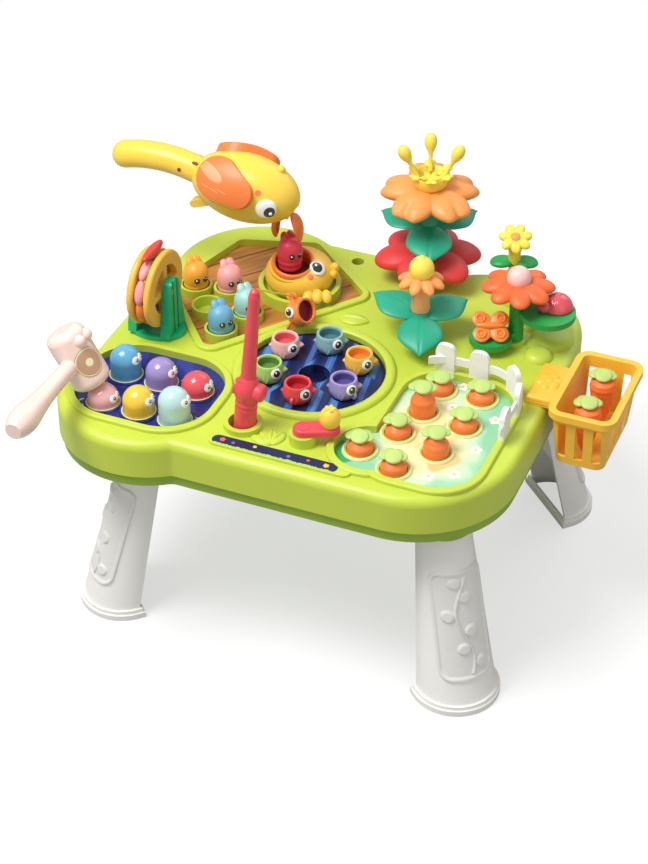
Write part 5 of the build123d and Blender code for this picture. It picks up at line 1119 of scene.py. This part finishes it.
# Ladybug and butterfly: small moulded figures fixed on the perch leaves of the garden stem, the butterfly
# tilted forward on a short prop.
ladybug_red = plastic("ladybug_red", "E0525C", rough=0.20, coat=0.6)
butterfly_orange = plastic("butterfly_orange", "F38B3C", rough=0.36)
ladybug = (182.5, 97)
heading_turn = -133
heading = way(heading_turn)
seam = Vector((-heading.y, heading.x, 0))
shell = soften(turned((
    (0, 298.8), (5.5, 298.0), (10.6, 295.0), (14.0, 290.6), (15.8, 285.8), (15.8, 284.4), (0, 284.3),
), steps=48))
for v in shell.data.vertices:
    aside = abs(v.co.xy.dot(seam.xy)) * 1000
    ahead = v.co.xy.dot(heading.xy) * 1000
    line = max(step(0.9, 0.2, aside) * step(6.5, 5.5, ahead), step(0.9, 0.2, abs(ahead - 6.5)))
    v.co.z -= 0.0011 * line * step(0.2845, 0.287, v.co.z)
head = blade(14, 15, 11.5, point=0.0)
for model in (shell, head):
    model.data.materials.append(ladybug_red)
bits = [copy_at(shell, put(*ladybug, 0))]
bits.append(copy_at(head, put(*ladybug, 288.6, turn=heading_turn) @ put(7.5, 0, 0)))
drop(shell, head)
butterfly = (126, 66)
perch = put(*butterfly, 266.5, turn=22, roll=34)
wing = blade(20.5, 17, 5.0, point=-0.25)
ring = turned(((2.8, 0.6), (3.1, 2.0), (4.1, 2.4), (5.1, 2.0), (5.4, 0.6)), steps=28)
thorax = blade(29, 6.8, 6.8, point=0.2)
prop = turned(((0, 254.5), (4.4, 254.5), (3.6, 258), (3.4, 266), (0, 267)), steps=24)
for model in (wing, ring, thorax, prop):
    model.data.materials.append(butterfly_orange)
for turn in (38, 142, 222, 318):
    out = way(turn) * 12.5
    bits.append(copy_at(wing, perch @ put(0, 0, 0, turn=turn, tilt=-3)))
    bits.append(copy_at(ring, perch @ put(out.x, out.y, 1.8)))
    inner = copy_at(ring, perch @ put(out.x, out.y, 2.0) @ Matrix.Scale(0.5, 4))
    inner.data.materials[0] = daisy_orange
    bits.append(inner)
bits.append(copy_at(thorax, perch @ put(-14.5, 0, 2.8)))
bits.append(copy_at(prop, put(*butterfly, 0)))
drop(wing, ring, thorax, prop)
bugs = settle(join(bits), "leaf_visitors", "garden", smooth=60)
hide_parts("leaf_bugs")


# Back flower: a small yellow bloom of seven petals on a thin green stem with two round leaves. It is
# moulded of soft plastic and pegged in the back of the shell.
back_peg = (120, 152)
stem = turned((
    (0, 234.5), (6.0, 234.5), (6.0, 243.6), (5.4, 244.4), (5.3, 296), (5.0, 304), (6, 308), (0, 309),
), steps=28)
stem.data.materials.append(stem_green)
neck = turned(((5.6, 288), (6.6, 289.5), (6.0, 300), (8.2, 309), (9.8, 312), (0, 313)), steps=28)
neck.data.materials.append(stamen_yellow)
petal = blade(17, 10.5, 9.0, point=-0.15, groove=1.0)
petal.data.materials.append(stamen_yellow)
hub = soften(turned(((0, 5.4), (3.6, 5.0), (5.6, 3.0), (6.0, 0.4)), steps=24))
hub.data.materials.append(flower_peach)
round_leaf = blade(24, 20.4, 9.0, point=-0.05, groove=1.1, droop=1.5)
round_leaf.data.materials.append(stem_green)
bloom = put(*back_peg, 315.5, turn=-67.5, tilt=28)
petal_count = 7
bits = [copy_at(petal, bloom @ put(0, 0, 0, turn=360 * k / petal_count)) for k in range(petal_count)]
bits.append(copy_at(hub, bloom))
bits += corolla(round_leaf, 2, 20, *back_peg, 289, 0)
bits += [copy_at(model, put(*back_peg, 0)) for model in (stem, neck)]
back_bloom = settle(join(bits), "back_bloom", "back_flower", smooth=60)
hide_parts("back_flower")
drop(stem, neck, petal, hub, round_leaf)


# Carrots: eight ridged orange roots standing in the bed, each with a leafy top of thin round lobes that
# overlap like scales.
carrot_orange = plastic("carrot_orange", "F47F3C", rough=0.42)
leaf_pale = plastic("leaf_pale", "B9D474", rough=0.42)
lobe = turned(((0, 0), (7.4, 0), (8.6, 0.7), (9.0, 1.7), (8.6, 2.7), (7.6, 3.3), (0, 3.7)), steps=32)
lobe.data.materials.append(leaf_pale)
lobe_size, lobe_shift = 0.86, way(112.5) * 3.6
lobe_places = (
    (-90, 4.0, 1.10, 2.4, 14), (-8, 8.4, 0.78, 1.2, 10), (180, 8.6, 0.86, 1.0, 10),
    (60, 7.4, 0.84, -0.6, 4), (125, 7.4, 0.88, -0.2, 4),
)


def carrot(x, y, base, top, rise, turn):
    """One root turned with rings round it, and the lobes of leaf on its crown."""
    neck = top - base - rise
    outline = (
        (0, 3.3), (0.14 * neck, 6.5), (0.6 * neck, 10.4), (neck, 12.9),
        (neck + 0.6 * rise, 11.8), (neck + rise, 5.9),
    )
    points = [(0, base)]
    for count in range(46):
        height = (neck + rise) * count / 45
        for (low, thin), (high, wide) in zip(outline, outline[1:]):
            if low <= height <= high:
                radius = thin + (wide - thin) * (height - low) / (high - low)
        ring = 0.55 * max(0.0, math.cos(height * 1.1)) ** 3
        points.append((radius - ring, base + height))
    points.append((0, top))
    core = turned(points, steps=28)
    core.data.materials.append(carrot_orange)
    pieces = [copy_at(core, put(x, y, 0))]
    drop(core)
    for aside, reach, size, lift, lean in lobe_places:
        heading = turn + aside + 90
        out = way(heading) * reach * lobe_size + lobe_shift
        spot = put(x + out.x, y + out.y, top + 0.2 + lift, turn=heading, tilt=lean)
        pieces.append(copy_at(lobe, spot @ Matrix.Scale(lobe_size * size, 4)))
    return pieces


carrot_foot, bed_level, leaf_heading = 193.4, 236.5, -67.5
rows = []
for count, (x, y, rise) in enumerate(carrot_spots):
    rows += carrot(x, y, carrot_foot, bed_level + rise, rise, leaf_heading + (count * 37) % 23 - 11)
bed_carrots = settle(join(rows), "bed_carrots", "carrots", smooth=50)
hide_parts("carrots")


# Basket: a yellow crate hooked on the right edge of the case, with two loose carrots in it. A cushion
# with a flower of six petals is raised on the hook plate.
basket_yellow = plastic("basket_yellow", "F6BE3B", rough=0.40)
paint(["basket"], basket_yellow)
basket_floor, root_top = 197.3, 248.4
rows = carrot(246, 1, basket_floor, root_top, 8, -67.5) + carrot(246, 49, basket_floor, root_top, 8, -75)
basket_roots = settle(join(rows), "basket_roots", "basket", smooth=50)
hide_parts("basket_carrots")
drop(lobe)
petal = blade(14.0, 12, 7.0, point=-0.1)
middle = turned(((0, 251.8), (3.4, 251.2), (4.8, 249.4), (5.0, 246)), steps=28)
fresh()
bpy.ops.mesh.primitive_cube_add(size=1, location=(0.2005, 0.025, 0.2452), scale=(0.0304, 0.0604, 0.007))
pad = bpy.context.object
bpy.ops.object.transform_apply(location=True, scale=True)
bpy.ops.object.mode_set(mode="EDIT")
bpy.ops.mesh.select_all(action="SELECT")
bpy.ops.mesh.bevel(offset=0.0034, segments=5, affect="EDGES")
bpy.ops.object.mode_set(mode="OBJECT")
badge_spot = (200, 25)
badge = join([pad] + corolla(petal, 6, 18, *badge_spot, 247.6, 0) + [copy_at(middle, put(*badge_spot, 0))])
settle(badge, "basket_badge", "basket", basket_yellow, smooth=60)
drop(petal, middle)
